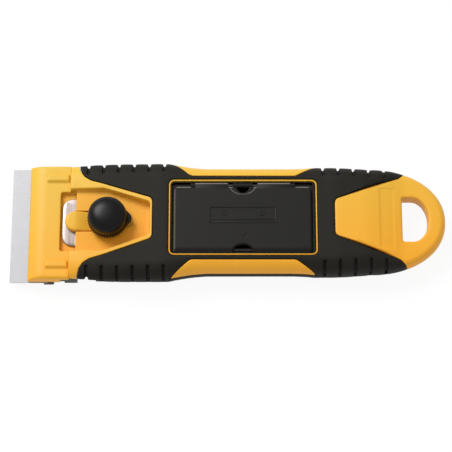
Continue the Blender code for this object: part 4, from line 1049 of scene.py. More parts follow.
def lower_rubber_outer(spots):
    sunk = lip(away_from(spots, rear_gap, channel, *bores), RUBBER_LIP)
    sunk = np.maximum(sunk, lip(spots[:, 0] - lower_low.x, BELLY_FRONT_LIP))
    return under_parting(pressed_in(spots, np.maximum(sunk, grooved(spots, BELLY_REACH)), under=True))


def lower_rubber_inner(spots):
    return under_parting(pressed_in(spots, SKIN, under=True))


belly = between_sheets(under_plan, in_lower_rubber, lower_rubber_inner, lower_rubber_outer)
finished("rubber_belly", belly, rubber, "handle", ["bottom_grip"])

# %% [markdown]
# The core follows the belly curve where it shows and lies one skin deeper where the rubber covers it. Its
# upper face is flat but for the well of the tray and the room of the head's deck.


# %% Yellow lower shell
def in_core(spots):
    deep = nearest(spots, PLAN)[0] > SKIN + GAP
    chosen = inside(spots, PLAN) & (deep | inside(spots, rear_field))
    chosen &= (spots[:, 0] > lower_low.x) & (spots[:, 0] < lower_high.x)
    return chosen & ~within_any(spots, [channel, *bores])


def core_outer(spots):
    outer = pressed_in(spots, lip(away_from(spots, rear_field), YELLOW_LIP), under=True)
    buried, _ = pebble(spots, under=True, inset=SKIN + GAP)
    return under_parting(np.where(inside(spots, rear_field)[:, None], outer, buried))


def core_inner(spots):
    """The joint between the shells, and the floors of the tray's well and of the deck's room below it."""
    height = np.full(len(spots), LOWER_TOP)
    for room, floor in rooms:
        height[inside(spots, grown(room, -TIGHT / 2))] = floor
    return at_height(spots, height)


core = between_sheets(under_plan, in_core, core_inner, core_outer)
finished("yellow_lower_shell", core, yellow, "handle", ["lower_shell"])

# %% [markdown]
# ## The head
# The head is a plate that curves down to a thin lip over the blade, like a rounded brow. Its height is a
# quarter ellipse in front and flat behind, less a lip at every edge, plus the two raised thumb bumps. The
# window is a step down to the deck that the pressure plate lies on, so two lines close together hold each
# step upright.

# %% Plan of the head
HAIR = 0.03 * MM
HEAD_REAR = HANDLE_FRONT - 0.1 * MM
HEAD_TOP = 11.7 * MM
DECK_TOP = 8.55 * MM
BROW = -91.5 * MM
BROW_STEPS = 12
HEAD_LIP = 6.2 * MM
HEAD_EDGE = 1.5 * MM
HEAD_HALF, HEAD_GRID, HEAD_REAR_LIP = 31 * MM, 1.2 * MM, 0.3 * MM
MOULD_ROUND = 0.8 * MM
NOTCH_FRONT, NOTCH_HALF, NOTCH_TOP = -83.8 * MM, 23.8 * MM, 8.6 * MM
WINDOW_FRONT, WINDOW_REAR, WINDOW_HALF = -84.2 * MM, HEAD_REAR + 3 * MM, 15.6 * MM
WINDOW_LIP, WINDOW_ROUND = 0.4 * MM, 1.4 * MM
WINDOW_STEPS = (0.05 * MM, 0.5 * MM)
BUMP_FRONT, BUMP_REAR, BUMP_CORNER = -91.4 * MM, -79.8 * MM, 1.6 * MM
BUMP_Y, BUMP_HALF = 22.6 * MM, 2.5 * MM
BUMP_RISE, BUMP_ROUND, BUMP_RAMP, BUMP_FOOT = 1.4 * MM, 1.4 * MM, 1.8 * MM, 0.5 * MM
RAMP_SHARES = np.array((0.1, 0.9, 1.0, 1.1))
AHEAD = -95 * MM

window = filleted(rectangle(WINDOW_FRONT, WINDOW_REAR, -WINDOW_HALF, WINDOW_HALF), WINDOW_ROUND)
head_outline = filleted(rectangle(head_low.x, HEAD_REAR, head_low.y, head_high.y), MOULD_ROUND, 4)
bumps = [rectangle(BUMP_FRONT, BUMP_REAR, y - BUMP_HALF, y + BUMP_HALF) for y in (BUMP_Y, -BUMP_Y)]
bumps = [filleted(bump, BUMP_CORNER) for bump in bumps]
head_chains = rings(head_outline, HEAD_EDGE) + rings(window, WINDOW_LIP, 1)
head_chains += [closed(grown(window, -by)) for by in WINDOW_STEPS]
for outline in bumps:
    head_chains += rings(outline, BUMP_ROUND) + rings(outline, BUMP_FOOT, 1)
    head_chains += [[(AHEAD, y), (HEAD_REAR, y)] for y in outline[:, 1].min() + BUMP_RAMP * RAMP_SHARES]
for k in range(BROW_STEPS + 1):
    head_chains.append(cross_line(BROW - (BROW - head_low.x) * math.cos(math.pi / 2 * k / BROW_STEPS)))
for side in (1, -1):
    for by in (0, HAIR):
        x, y = NOTCH_FRONT + by, (NOTCH_HALF + by) * side
        head_chains.append([(x, FAR_OUT * side), (x, y), (0, y)])
head_plan = triangulated(head_chains, *span(head_low.x - MARGIN, HEAD_REAR + MARGIN, HEAD_HALF), HEAD_GRID)


# %% Head
def swelled(share):
    """A share from nought to one that starts and ends flat."""
    return share**2 * (3 - 2 * share)


def head_top(spots):
    reach = np.clip((BROW - spots[:, 0]) / (BROW - head_low.x), 0, 1)
    height = HEAD_LIP + (HEAD_TOP - HEAD_LIP) * np.sqrt(1 - reach**2)
    side_edge = np.minimum(spots[:, 1] - head_low.y, head_high.y - spots[:, 1])
    height -= lip(side_edge, HEAD_EDGE) * (1 - reach**3)
    height -= lip(HEAD_REAR - spots[:, 0], HEAD_REAR_LIP)
    for outline in bumps:
        swell = 1 - lip(away_from(spots, outline), BUMP_ROUND) / BUMP_ROUND
        ramp = np.clip((spots[:, 1] - outline[:, 1].min()) / BUMP_RAMP, 0, 1)
        height += np.where(inside(spots, outline), swelled(np.minimum(swell, ramp)) * BUMP_RISE, 0)
    height -= lip(away_from(spots, window), WINDOW_LIP)
    return at_height(spots, np.where(inside(spots, grown(window, -HAIR)), DECK_TOP, height))


def head_bottom(spots):
    notched = (np.abs(spots[:, 1]) > NOTCH_HALF + HAIR / 2) & (spots[:, 0] > NOTCH_FRONT + HAIR / 2)
    return at_height(spots, np.where(notched, NOTCH_TOP, head_low.z))


head_shape = between_sheets(head_plan, lambda spots: inside(spots, head_outline), head_top, head_bottom)

# %% [markdown]
# Behind the head a flat deck runs on under the handle and carries the screws. A plate is the simplest case
# of the same method: flat on both faces, with lips, and with any number of holes.

# %% Flat plates
PLATE_CELLS = 12
FINE_LIP = 0.1 * MM


def plate(outline, low, high, radius, holes=(), under_radius=0.0):
    """A flat plate with a lip along its outline and round its holes."""
    lines = [outline, *holes]
    chains = rings(outline, radius)
    for opening in holes:
        chains += rings(opening, radius, 1)
    corner, far = np.min(outline, 0) - MARGIN, np.max(outline, 0) + MARGIN
    plan = triangulated(chains, corner, far, max(far - corner) / PLATE_CELLS)

    def chosen(spots):
        kept = inside(spots, outline)
        return kept & ~within_any(spots, holes) if holes else kept

    def upper(spots):
        return at_height(spots, high - lip(away_from(spots, *lines), radius))

    def lower(spots):
        return at_height(spots, low + (lip(away_from(spots, *lines), under_radius) if under_radius else 0))

    return between_sheets(plan, chosen, upper, lower)


# %% [markdown]
# The deck has a long slot for the stud. Two thicker cheeks stand on its sides, up to the handle's parting
# line. Head, deck and cheeks are one moulding, so they become one piece.

# %% Deck and cheeks
NECK_X = -66.3 * MM
STUD, STUD_PLAY = 2.5 * MM, 0.8 * MM
STUD_SLOT = STUD + STUD_PLAY
DECK_LIP = 0.25 * MM
CHEEK_FOOT = 0.5 * MM
stud_low, stud_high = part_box("knob_stud")
KNOB_X = (stud_low.x + stud_high.x) / 2
slot_ends = [end_arc(KNOB_X + slide_range, STUD_SLOT, 1), end_arc(KNOB_X, STUD_SLOT, -1)]
deck_outline = mirrored([(HEAD_REAR - MARGIN, NOTCH_HALF), (NECK_X, NOTCH_HALF), (NECK_X, NECK_HALF),
                         (head_high.x, NECK_HALF)])
deck = plate(filleted(deck_outline, MOULD_ROUND, 3), head_low.z, DECK_TOP - HAIR, DECK_LIP,
             [np.concatenate(slot_ends)])
cheeks = []
for side in (1, -1):
    cheek = rectangle(HEAD_REAR - MARGIN, NECK_X, *sorted((side * WINDOW_HALF, side * NOTCH_HALF)))
    cheeks.append(plate(filleted(cheek, MOULD_ROUND, 3), DECK_TOP - CHEEK_FOOT, LOWER_TOP, DECK_LIP))
head_body = together(head_shape, deck, *cheeks)
head = finished("yellow_head", head_body, yellow, "handle", ["head_cover"])
# The window's deep corners are painted warmer: painted shade.
sink(head, rectangle(WINDOW_FRONT - SINK_RUN, WINDOW_REAR, -WINDOW_HALF, WINDOW_HALF), HEAD_TOP)

# %% [markdown]
# ## Plate and tongue
# The pressure plate is stamped from sheet steel, with rounded corners and a bright lip. The yellow tongue
# lies on it and is moulded with a full round edge. It drops in a smooth ramp, and a boss round the stud
# stands at its full height.

# %% Pressure plate
plate_low, plate_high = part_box("pressure_plate")
PLATE_BACK, PLATE_ROUND, PLATE_LIP = 0.9 * MM, 6.2 * MM, 0.35 * MM
STUD_HOLE = 2.65 * MM
stud_hole = circle(KNOB_X, 0, STUD_HOLE)
plate_outline = rectangle(plate_low.x + PLATE_BACK, plate_high.x, plate_low.y, plate_high.y)
plate_outline = filleted(plate_outline, PLATE_ROUND, 10)
pressed = plate(plate_outline, plate_low.z, plate_high.z, PLATE_LIP, [stud_hole])
finished("bright_plate", pressed, bright, "slider", ["pressure_plate"])

# %% Tongue
TONGUE_LIP, STUD_LIP = 1.3 * MM, 0.2 * MM
TONGUE_REACH, TONGUE_GRID = 7 * MM, 0.8 * MM
RAMP_FRONT, RAMP_REAR = -77.4 * MM, -67.6 * MM
RAMP_STEPS = 10
RAMP_DROP = 2.2 * MM
BOSS, BOSS_SLOPE = 5.6 * MM, 0.3 * MM
FOOT_START, FOOT_HEIGHT = 3.2 * MM, 0.6 * MM
tongue_outline = tapered(nose_low.x, TONGUE_BEND, TONGUE_REAR)
boss = circle(KNOB_X, 0, BOSS, 40)
tongue_chains = rings(tongue_outline, TONGUE_LIP) + rings(stud_hole, STUD_LIP, 1)
tongue_chains += step_lines(boss, BOSS_SLOPE)
for step in range(RAMP_STEPS + 1):
    tongue_chains.append(cross_line(RAMP_FRONT + (RAMP_REAR - RAMP_FRONT) * step / RAMP_STEPS))
tongue_span = span(nose_low.x - MARGIN, TONGUE_REAR + MARGIN, TONGUE_REACH)
tongue_plan = triangulated(tongue_chains, *tongue_span, TONGUE_GRID)


def in_tongue(spots):
    return inside(spots, tongue_outline) & ~inside(spots, stud_hole)


def tongue_top(spots):
    drop = RAMP_DROP * swelled(np.clip((spots[:, 0] - RAMP_FRONT) / (RAMP_REAR - RAMP_FRONT), 0, 1))
    rise = np.where(inside(spots, boss), np.clip(away_from(spots, boss) / BOSS_SLOPE, 0, 1), 0)
    sunk = lip(away_from(spots, tongue_outline), TONGUE_LIP)
    return at_height(spots, nose_high.z - np.maximum(drop * (1 - rise), 0) - sunk)


def flat_at(height):
    return lambda spots: at_height(spots, height)


tongue_shape = between_sheets(tongue_plan, in_tongue, tongue_top, flat_at(nose_low.z))
foot = rectangle(KNOB_X + FOOT_START, nose_high.x, nose_low.y, nose_high.y)
foot = plate(foot, nose_low.z, nose_low.z + FOOT_HEIGHT, FINE_LIP)
tongue_body = together(tongue_shape, foot)
tongue = finished("yellow_tongue", tongue_body, yellow, "slider", ["slider_nose"])
# The tongue's ramp under the knob is painted warmer: painted shade.
sink(tongue, tongue_outline, nose_high.z)

# %% [markdown]
# ## Softened copies
# Some pieces already have the right shape and only lack soft edges: the carriage, the tray and the blades.
# A copy of the solid is welded, its flat faces are joined again and a narrow bevel breaks its edges, as on
# real parts. A bevel is enough here, because nearly all their faces are flat.

# %% Soften the edges of a solid
FLAT = math.radians(1)
BEVELLED = math.radians(40)
CARRIAGE_EDGE, TRAY_EDGE, BLADE_EDGE = 0.12 * MM, 0.15 * MM, 0.05 * MM


def join_flats(build):
    bmesh.ops.dissolve_limit(build, angle_limit=FLAT, verts=build.verts, edges=build.edges)


def plain_mesh(piece):
    """The evaluated result as a mesh of its own, without the modifiers."""
    graph = bpy.context.evaluated_depsgraph_get()
    mesh = bpy.data.meshes.new_from_object(piece.evaluated_get(graph))
    piece.modifiers.clear()
    return mesh


def softened(name, node, finish, body, width):
    mesh = frame["nodes"][node].data.copy()
    welded(mesh, join_flats)
    piece = placed(name, mesh)
    bevel = piece.modifiers.new("Soft edges", "BEVEL")
    bevel.width = width
    bevel.segments = 2
    bevel.limit_method = "ANGLE"
    bevel.angle_limit = BEVELLED
    piece.data = plain_mesh(piece)
    piece.data.materials.clear()
    piece.data.materials.append(finish.material)
    piece.data.shade_flat()
    handed_over(piece, body, [node])
    return piece


softened("carriage", "blade_carriage", black, "slider", CARRIAGE_EDGE)

# %% [markdown]
# The four blades are alike. Their edge is formed by two slopes that come from a finer stone than the flat
# faces, so these slopes get a finish of their own. They are found by the direction in which they face.

# %% Blade
FACES_FRONT, FACES_UP = -0.05, 0.5


def hone(blade):
    """Give the two slopes that form the edge the finer, darker finish of the honing stone."""
    blade.data.materials.append(honed.material)
    for face in blade.data.polygons:
        if face.normal.x < FACES_FRONT and abs(face.normal.z) > FACES_UP:
            face.material_index = 1


hone(softened("steel_blade", "blade", steel, "slider", BLADE_EDGE))

# %% [markdown]
# The spare blades lie in a tray. A black sheet fills the gap between the tray and the frame, so that no
# light falls into the handle there: it stands in for the shade in that gap. The solids leave that gap open
# as clearance.

# %% Tray, shade sheet and spare blades
SHADE_SHEET_LIP = 0.1 * MM
SHADE_SHEET_DROP, SHADE_SHEET_FOOT = 1.2 * MM, 4 * MM
softened("tray", "blade_tray", black, "handle", TRAY_EDGE)
shade_sheet_hole = rectangle(tray_low.x + SHADE_SHEET_LIP, tray_high.x - SHADE_SHEET_LIP,
                        tray_low.y + SHADE_SHEET_LIP, tray_high.y + GAP)
shade_sheet = plate(grown(pocket, -GAP), tray_high.z - SHADE_SHEET_FOOT, tray_high.z - SHADE_SHEET_DROP, SHADE_SHEET_LIP,
               [shade_sheet_hole])
# A black sheet that stands in for the shade in the gap round the tray.
finished("tray_collar", shade_sheet, black, "handle")
for i in (1, 2, 3):
    hone(softened(f"spare_{i}", f"spare_blade_{i}", steel, "handle", BLADE_EDGE))

# %% [markdown]
# ## Turned pieces
# The knob, its stud and the screws are bodies of revolution. A profile of radius and height is turned in
# fine steps, and each corner of the profile is a small chamfer.


# %% Turn a profile
def turned(profile, x, y=0.0, steps=72):
    """Vertices and faces of a profile, from its bottom to its top, turned about an upright axis."""
    turn = np.linspace(0, 2 * math.pi, steps, endpoint=False)
    vertices = [(x + r * math.cos(a), y + r * math.sin(a), z) for r, z in profile for a in turn]
    return vertices, tube_faces(steps, len(profile))


def tube_faces(around, rows):
    """Faces of a tube of points in rows, with both of its ends closed."""
    faces = []
    for k in range(rows - 1):
        for i in range(around):
            j = (i + 1) % around
            faces.append((k * around + i, k * around + j, (k + 1) * around + j, (k + 1) * around + i))
    last = (rows - 1) * around
    return faces + [tuple(range(around))[::-1], tuple(range(last, last + around))]


# %% [markdown]
# The knob is a full dome on a skirt. The dome's profile is a curve a little squarer than an ellipse, which
# is an ellipse with its sine and cosine raised to a power below one. The pointer on the skirt is a small
# rounded wedge.

# %% Knob's body and pointer
knob_low, knob_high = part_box("knob")
KNOB_BASE = knob_low.z
SKIRT = 10.2 * MM
SKIRT_HEIGHT = 3.6 * MM
RIB_DEPTH, SKIRT_INSET, FOOT_CHAMFER, TOP_CHAMFER = 0.5 * MM, 0.9 * MM, 0.3 * MM, 0.1 * MM
DOME, DOME_SEAM, DOME_FLAT = 9.55 * MM, 0.05 * MM, 0.02 * MM
DOME_RISE = 5.4 * MM
DOME_STEPS = 24
FULLNESS = 0.82
skirt_top = KNOB_BASE + SKIRT_HEIGHT
knob_profile = [(SKIRT - SKIRT_INSET, KNOB_BASE), (SKIRT - RIB_DEPTH, KNOB_BASE + FOOT_CHAMFER),
                (SKIRT - RIB_DEPTH, skirt_top - TOP_CHAMFER), (DOME + DOME_SEAM, skirt_top)]
for k in range(DOME_STEPS + 1):
    a = math.pi / 2 * k / DOME_STEPS
    radius = DOME * max(math.cos(a), SMALL) ** FULLNESS + DOME_FLAT
    knob_profile.append((radius, knob_high.z - DOME_RISE * (1 - math.sin(a) ** FULLNESS)))
knob_body = turned(knob_profile, KNOB_X)

WEDGE_CURVE = ((6, -3.8), (9.4, -3.7), (11.8, -1.2))
WEDGE_ROUND, POINTER_LIP = 0.8 * MM, 0.5 * MM
wedge = filleted(mirrored([(KNOB_X + x * MM, y * MM) for x, y in WEDGE_CURVE]), WEDGE_ROUND)
pointer = plate(wedge, KNOB_BASE + FOOT_CHAMFER, skirt_top - 2 * TOP_CHAMFER, POINTER_LIP)

# %% [markdown]
# The skirt's ribs repeat round a circle and the screws repeat on six points. Both are work for Geometry
# Nodes: one piece is placed on every point. The tree has named sizes as inputs, makes the copies real and
# gives them their finish. Afterwards the result is kept as a plain mesh.


# %% Geometry Nodes helpers
def new_tree(name, sizes):
    """A node tree with a geometry and named sizes as inputs, the sockets of these and its output node."""
    tree = bpy.data.node_groups.new(name, "GeometryNodeTree")
    tree.interface.new_socket("Geometry", in_out="INPUT", socket_type="NodeSocketGeometry")
    for size in sizes:
        kind = "NodeSocketInt" if isinstance(sizes[size], int) else "NodeSocketFloat"
        tree.interface.new_socket(size, in_out="INPUT", socket_type=kind)
    tree.interface.new_socket("Geometry", in_out="OUTPUT", socket_type="NodeSocketGeometry")
    given = {output.name: Socket(tree, output) for output in tree.nodes.new("NodeGroupInput").outputs}
    return tree, given, tree.nodes.new("NodeGroupOutput")


def spread(tree, result, links, finish):
    """Place an instance on every point, make the copies real, give them a finish and put them out."""
    copies = add_node(tree, "GeometryNodeInstanceOnPoints", {}, links)
    real = add_node(tree, "GeometryNodeRealizeInstances", {}, {"Geometry": copies})
    coat = add_node(tree, "GeometryNodeSetMaterial", {}, {"Geometry": real, "Material": finish.material})
    tree.links.new(coat.socket, result.inputs["Geometry"])


def run_tree(piece, tree, sizes):
    """Set the tree's sizes by their sockets' identifiers and keep what it makes as a plain mesh."""
    modifier = piece.modifiers.new(tree.name, "NODES")
    modifier.node_group = tree
    for socket in tree.interface.items_tree:
        if socket.item_type == "SOCKET" and socket.in_out == "INPUT" and socket.name in sizes:
            modifier[socket.identifier] = sizes[socket.name]
    return plain_mesh(piece)


# %% Ribs round the knob
RIB_SIDES = 10
RIB_WIDTH, RIB_HEIGHT = 0.85 * MM, SKIRT_HEIGHT - 0.8 * MM
rib_sizes = {"Ribs": 40, "Circle": SKIRT - RIB_DEPTH, "Rib width": RIB_WIDTH, "Rib height": RIB_HEIGHT}
tree, given, result = new_tree("Ribs round a skirt", rib_sizes)
points = add_node(tree, "GeometryNodeMeshCircle", {}, {"Vertices": given["Ribs"], "Radius": given["Circle"]})
half_rib = given["Rib width"] * 0.5
rib_size = {"Vertices": RIB_SIDES, "Radius": half_rib, "Depth": given["Rib height"]}
rib = add_node(tree, "GeometryNodeMeshCylinder", {}, rib_size)
spread(tree, result, {"Points": points, "Instance": rib}, smooth_black)
carrier = placed("ribs", bpy.data.meshes.new("ribs"))
ribs = run_tree(carrier, tree, rib_sizes)
bpy.data.objects.remove(carrier)
middle = KNOB_BASE + SKIRT_HEIGHT / 2 - TOP_CHAMFER
rib_parts = ([(v.co.x + KNOB_X, v.co.y, v.co.z + middle) for v in ribs.vertices],
             [tuple(face.vertices) for face in ribs.polygons])
knob = together(knob_body, pointer, rib_parts)
finished("knurled_knob", knob, smooth_black, "knob", ["knob"])

# %% [markdown]
# Under the knob hang its threaded stud and a washer, and the carriage holds a brass bush for the thread.
# The thread is drawn as grooves round the stud: seen from outside, nobody can tell them from a helix.

# %% Stud, washer and brass bush
THREAD = 0.8 * MM
THREAD_ROOT, THREAD_CREST, STUD_TIP, STUD_CHAMFER = 2.2 * MM, 2.5 * MM, 2.0 * MM, 0.1 * MM
THREAD_SHARES = ((0.0, THREAD_ROOT), (0.35, THREAD_CREST), (0.5, THREAD_CREST), (0.85, THREAD_ROOT))
FLANGE, FLANGE_HEIGHT = 5.0 * MM, 0.8 * MM
SLEEVE, SLEEVE_START = 3.6 * MM, 0.6 * MM
WASHER_LIP = 0.15 * MM
stud_profile = [(STUD_TIP, stud_low.z)]
for k in range(int((stud_high.z - stud_low.z) / THREAD) - 1):
    base = stud_low.z + THREAD * (k + 0.5)
    stud_profile += [(radius, base + THREAD * share) for share, radius in THREAD_SHARES]
stud_profile += [(THREAD_ROOT, stud_high.z - STUD_CHAMFER), (STUD_TIP, stud_high.z)]
finished("threaded_stud", turned(stud_profile, KNOB_X, steps=40), zinc, "knob", ["knob_stud"])

washer_low, washer_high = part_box("knob_washer")
washer = plate(circle(KNOB_X, 0, washer_high.y, 48), washer_low.z, washer_high.z, WASHER_LIP, [stud_hole])
finished("round_washer", washer, zinc, "rising_washer", ["knob_washer"])

bush_low, bush_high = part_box("threaded_insert")
flange = circle(KNOB_X, 0, FLANGE, 48)
flange = plate(flange, bush_low.z, bush_low.z + FLANGE_HEIGHT, FINE_LIP, [stud_hole], WASHER_LIP)
sleeve = plate(circle(KNOB_X, 0, SLEEVE, 40), bush_low.z + SLEEVE_START, bush_high.z, FINE_LIP, [stud_hole])
finished("brass_bush", together(flange, sleeve), brass, "slider", ["threaded_insert"])

# %% [markdown]
# ## The lid
# The lid has a chamfered rim, two hinge tabs along its far edge, a round finger scoop between them and a
# thumb notch in its near edge. It is drawn in the plan like the shells, with arcs that bite into two of
# its sides.

# %% Lid
COVER_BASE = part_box("compartment_cover")[0].z
LID_TOP = COVER_BASE + 1.8 * MM
LID_FRONT, LID_REAR = -26.9 * MM, 41.9 * MM
LID_NEAR, LID_FAR = -18.0 * MM, 16.3 * MM
LID_MIDDLE = (LID_FRONT + LID_REAR) / 2
CHAMFER, NEAR_CHAMFER = 0.75 * MM, 1.8 * MM
CHAMFER_FALL, NEAR_FALL = 0.85, 0.6
CHAMFER_STEPS = (0, 0.1, 0.35, 0.75, 1.0)
SCOOP_DEPTH, SCOOP_SLOPE = 0.7 * MM, 0.6 * MM
SCOOP_STEPS = (0.35, 0.0, -0.3, -0.6)
THUMB_LENGTH, THUMB_DEPTH, BITE = 5.3 * MM, 4.0 * MM, 3.2 * MM
SCOOP_LENGTH, SCOOP_REACH = 6.6 * MM, 5.0 * MM
LID_ROUND, LID_GRID = 2.0 * MM, 1.4 * MM


def bitten(outline, bites):
    """Replace stretches of an outline's straight sides by arcs that bite into it."""
    corners = [np.array(outline[:1])]
    for i in range(len(outline)):
        if i in bites:
            corners.append(bites[i])
        corners.append(np.array([outline[(i + 1) % len(outline)]]))
    return np.concatenate(corners)[:-1]


def half_ellipse(x, y, half_x, half_y, steps=36):
    """Points of a half ellipse that bites from a side at y, in the direction of half_y's sign."""
    turn = np.linspace(0, math.pi, steps)
    return np.stack((x - half_x * np.cos(turn), y + half_y * np.sin(turn)), 1)


thumb = half_ellipse(LID_MIDDLE, LID_NEAR, THUMB_LENGTH, THUMB_DEPTH)
scoop_hole = half_ellipse(LID_MIDDLE, LID_FAR, BITE, -BITE)[::-1]
scoop = half_ellipse(LID_MIDDLE, LID_FAR + MARGIN, SCOOP_LENGTH, -SCOOP_REACH)[::-1]
lid_outline = bitten(rectangle(LID_FRONT, LID_REAR, LID_NEAR, LID_FAR), {0: thumb, 2: scoop_hole})
lid_outline = filleted(lid_outline, LID_ROUND, 4)
lid_chains = [closed(grown(lid_outline, -step * MM)) for step in CHAMFER_STEPS]
lid_chains += [grown(scoop, step * MM) for step in SCOOP_STEPS]
lid_chains += [[(LID_FRONT, LID_NEAR + NEAR_CHAMFER), (LID_REAR, LID_NEAR + NEAR_CHAMFER)]]
lid_low, lid_high = (LID_FRONT - MARGIN, LID_NEAR - MARGIN), (LID_REAR + MARGIN, LID_FAR + MARGIN)
lid_plan = triangulated(lid_chains, lid_low, lid_high, LID_GRID)


def lid_top(spots):
    chamfer = np.clip(CHAMFER - away_from(spots, lid_outline), 0, CHAMFER)
    chamfer = np.maximum(chamfer, NEAR_FALL * (LID_NEAR + NEAR_CHAMFER - spots[:, 1]))
    scooped = np.clip(away_from(spots, scoop) / SCOOP_SLOPE, 0, 1) * SCOOP_DEPTH
    sunk = np.where(inside(spots, scoop), scooped, 0)
    return at_height(spots, LID_TOP - np.maximum(chamfer * CHAMFER_FALL, sunk))


lid_body = between_sheets(lid_plan, lambda spots: inside(spots, lid_outline), lid_top, flat_at(COVER_BASE))

# %% [markdown]
# A hinge tab is a bar with a round nose about the pin. Its section is drawn once and pushed along X, and
# its two ends are drawn in a little, as a mould leaves them.

# %% Hinge tabs
pin_low, pin_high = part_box("hinge_pin")
PIN_Y, PIN_Z = (pin_low.y + pin_high.y) / 2, (pin_low.z + pin_high.z) / 2
TAB_LENGTH = 16.3 * MM
TAB_SPREAD = 31.3 * MM
TAB_CHAMFER = 0.2 * MM
TAB_TOP = LID_TOP + HAIR
TAB_ROOT = LID_FAR - 1.0 * MM
KNUCKLE = 1.25 * MM
NOSE_END = 0.5
NOSE_SHARE, FLAT_SHARE = 0.7, 0.4


def drawn_along_x(section, start, end):
    """Push a section of Y and Z along X and pull its two ends in a little."""
    middle_y, middle_z = np.mean(section, 0)
    shrink = 1 - TAB_CHAMFER / KNUCKLE / 2
    vertices = []
    for x, scale in ((start, shrink), (start + TAB_CHAMFER, 1), (end - TAB_CHAMFER, 1), (end, shrink)):
        for y, z in section:
            vertices.append((x, middle_y + (y - middle_y) * scale, middle_z + (z - middle_z) * scale))
    return vertices, tube_faces(len(section), 4)


nose = [a for a in np.linspace(-math.pi / 2, math.pi / 2, 13) if a < NOSE_END]
tab_section = [(TAB_ROOT, COVER_BASE)]
tab_section += [(PIN_Y + KNUCKLE * math.cos(a), PIN_Z + KNUCKLE * math.sin(a)) for a in nose]
tab_section += [(PIN_Y + KNUCKLE * share, TAB_TOP) for share in (NOSE_SHARE, FLAT_SHARE)]
tab_section.append((TAB_ROOT, TAB_TOP))
tabs = []
for side in (-1, 1):
    start = LID_MIDDLE + side * TAB_SPREAD / 2 - TAB_LENGTH / 2
    tabs.append(drawn_along_x(tab_section, start, start + TAB_LENGTH))

# %% [markdown]
# A plain raised blade and an arrow tell what lies under the lid and where to press. Each line of them is a
# plate that starts a little under the lid's face, so that no gap can show.

# %% Raised blade and arrow
SIGN_RISE, SIGN_ROOT = 0.22 * MM, 0.2 * MM
SIGN_Y = 1.5 * MM
SIGN_LENGTH, SIGN_HALF, SIGN_WALL = 17 * MM, 4.4 * MM, 0.9 * MM
EDGE_LENGTH, EDGE_NEAR, EDGE_FAR = 16.5 * MM, -2.7 * MM, -2.2 * MM
EYE_X, EYE_Y, EYE_OUTER, EYE_INNER = 9.5 * MM, 0.9 * MM, 1.5 * MM, 0.9 * MM
ARROW_HALF, ARROW_BACK, ARROW_TIP = 2.2 * MM, -7.6 * MM, -9.6 * MM
RING_LIP, SIGN_LIP = 0.15 * MM, 0.12 * MM
SIGN_ROUND, EDGE_ROUND, ARROW_ROUND = 0.6 * MM, 0.1 * MM, 0.2 * MM


def raised(outline, radius=SIGN_LIP, holes=()):
    return plate(outline, LID_TOP - SIGN_ROOT, LID_TOP + SIGN_RISE, radius, holes)


def on_sign(half, near, far):
    """A rectangle that is centred on the lid's length."""
    return rectangle(LID_MIDDLE - half, LID_MIDDLE + half, SIGN_Y + near, SIGN_Y + far)


sign_outer = filleted(on_sign(SIGN_LENGTH, -SIGN_HALF, SIGN_HALF), SIGN_ROUND, 3)
sign = [raised(sign_outer, RING_LIP, [grown(sign_outer, -SIGN_WALL)])]
sign.append(raised(filleted(on_sign(EDGE_LENGTH, EDGE_NEAR, EDGE_FAR), EDGE_ROUND, 2)))
for side in (1, -1):
    eye = LID_MIDDLE + side * EYE_X, SIGN_Y + EYE_Y
    sign.append(raised(circle(*eye, EYE_OUTER), SIGN_LIP, [circle(*eye, EYE_INNER)]))
arrow = [(LID_MIDDLE + x, ARROW_BACK) for x in (-ARROW_HALF, ARROW_HALF)] + [(LID_MIDDLE, ARROW_TIP)]
sign.append(raised(filleted(arrow, ARROW_ROUND, 2)))
lid_body = together(lid_body, *tabs, *sign)
lid = finished("black_lid", lid_body, black, "lid", ["compartment_cover"])

# %% [markdown]
# The rim is painted pale along the hinge, round the scoop and at the front: a painted highlight. The finish
# reads this from an attribute on the lid's own corners, between nought and one.

# %% Painted highlight on the rim
HIGHLIGHT_BAND = 0.45 * MM
SCOOP_HIGHLIGHT, FRONT_HIGHLIGHT = 0.9, 0.45
TOUCH, SCOOP_TOUCH, SCOOP_END = 0.01 * MM, 0.05 * MM, 0.3 * MM
HIGHLIGHT_PIN_SHARE = 0.6


def painted_highlight_share(place):
    """How much painted highlight the rim gets at a corner of the lid."""
    if place.z < LID_TOP - CHAMFER:
        return 0.0
    from_scoop = away_from(np.array([[place.x, place.y]]), scoop)[0]
    if from_scoop < SCOOP_TOUCH and place.y < LID_FAR - SCOOP_END:
        return SCOOP_HIGHLIGHT
    if place.y > PIN_Y + KNUCKLE * HIGHLIGHT_PIN_SHARE or LID_FAR - HIGHLIGHT_BAND < place.y < LID_FAR + TOUCH:
        return 1.0
    return FRONT_HIGHLIGHT if place.x < LID_FRONT + HIGHLIGHT_BAND else 0.0


# Each corner of the lid gets its share of painted highlight.
shares = lid.data.attributes.new("rubbed", "FLOAT", "POINT")
for corner in lid.data.vertices:
    shares.data[corner.index].value = painted_highlight_share(corner.co)

# %% [markdown]
# ## Screws
# All six screws are the same cross-headed screw at different places. Its mesh is turned once, head down.
# The cross is cut with a Boolean, which is fine here because nothing has to be soft inside it.

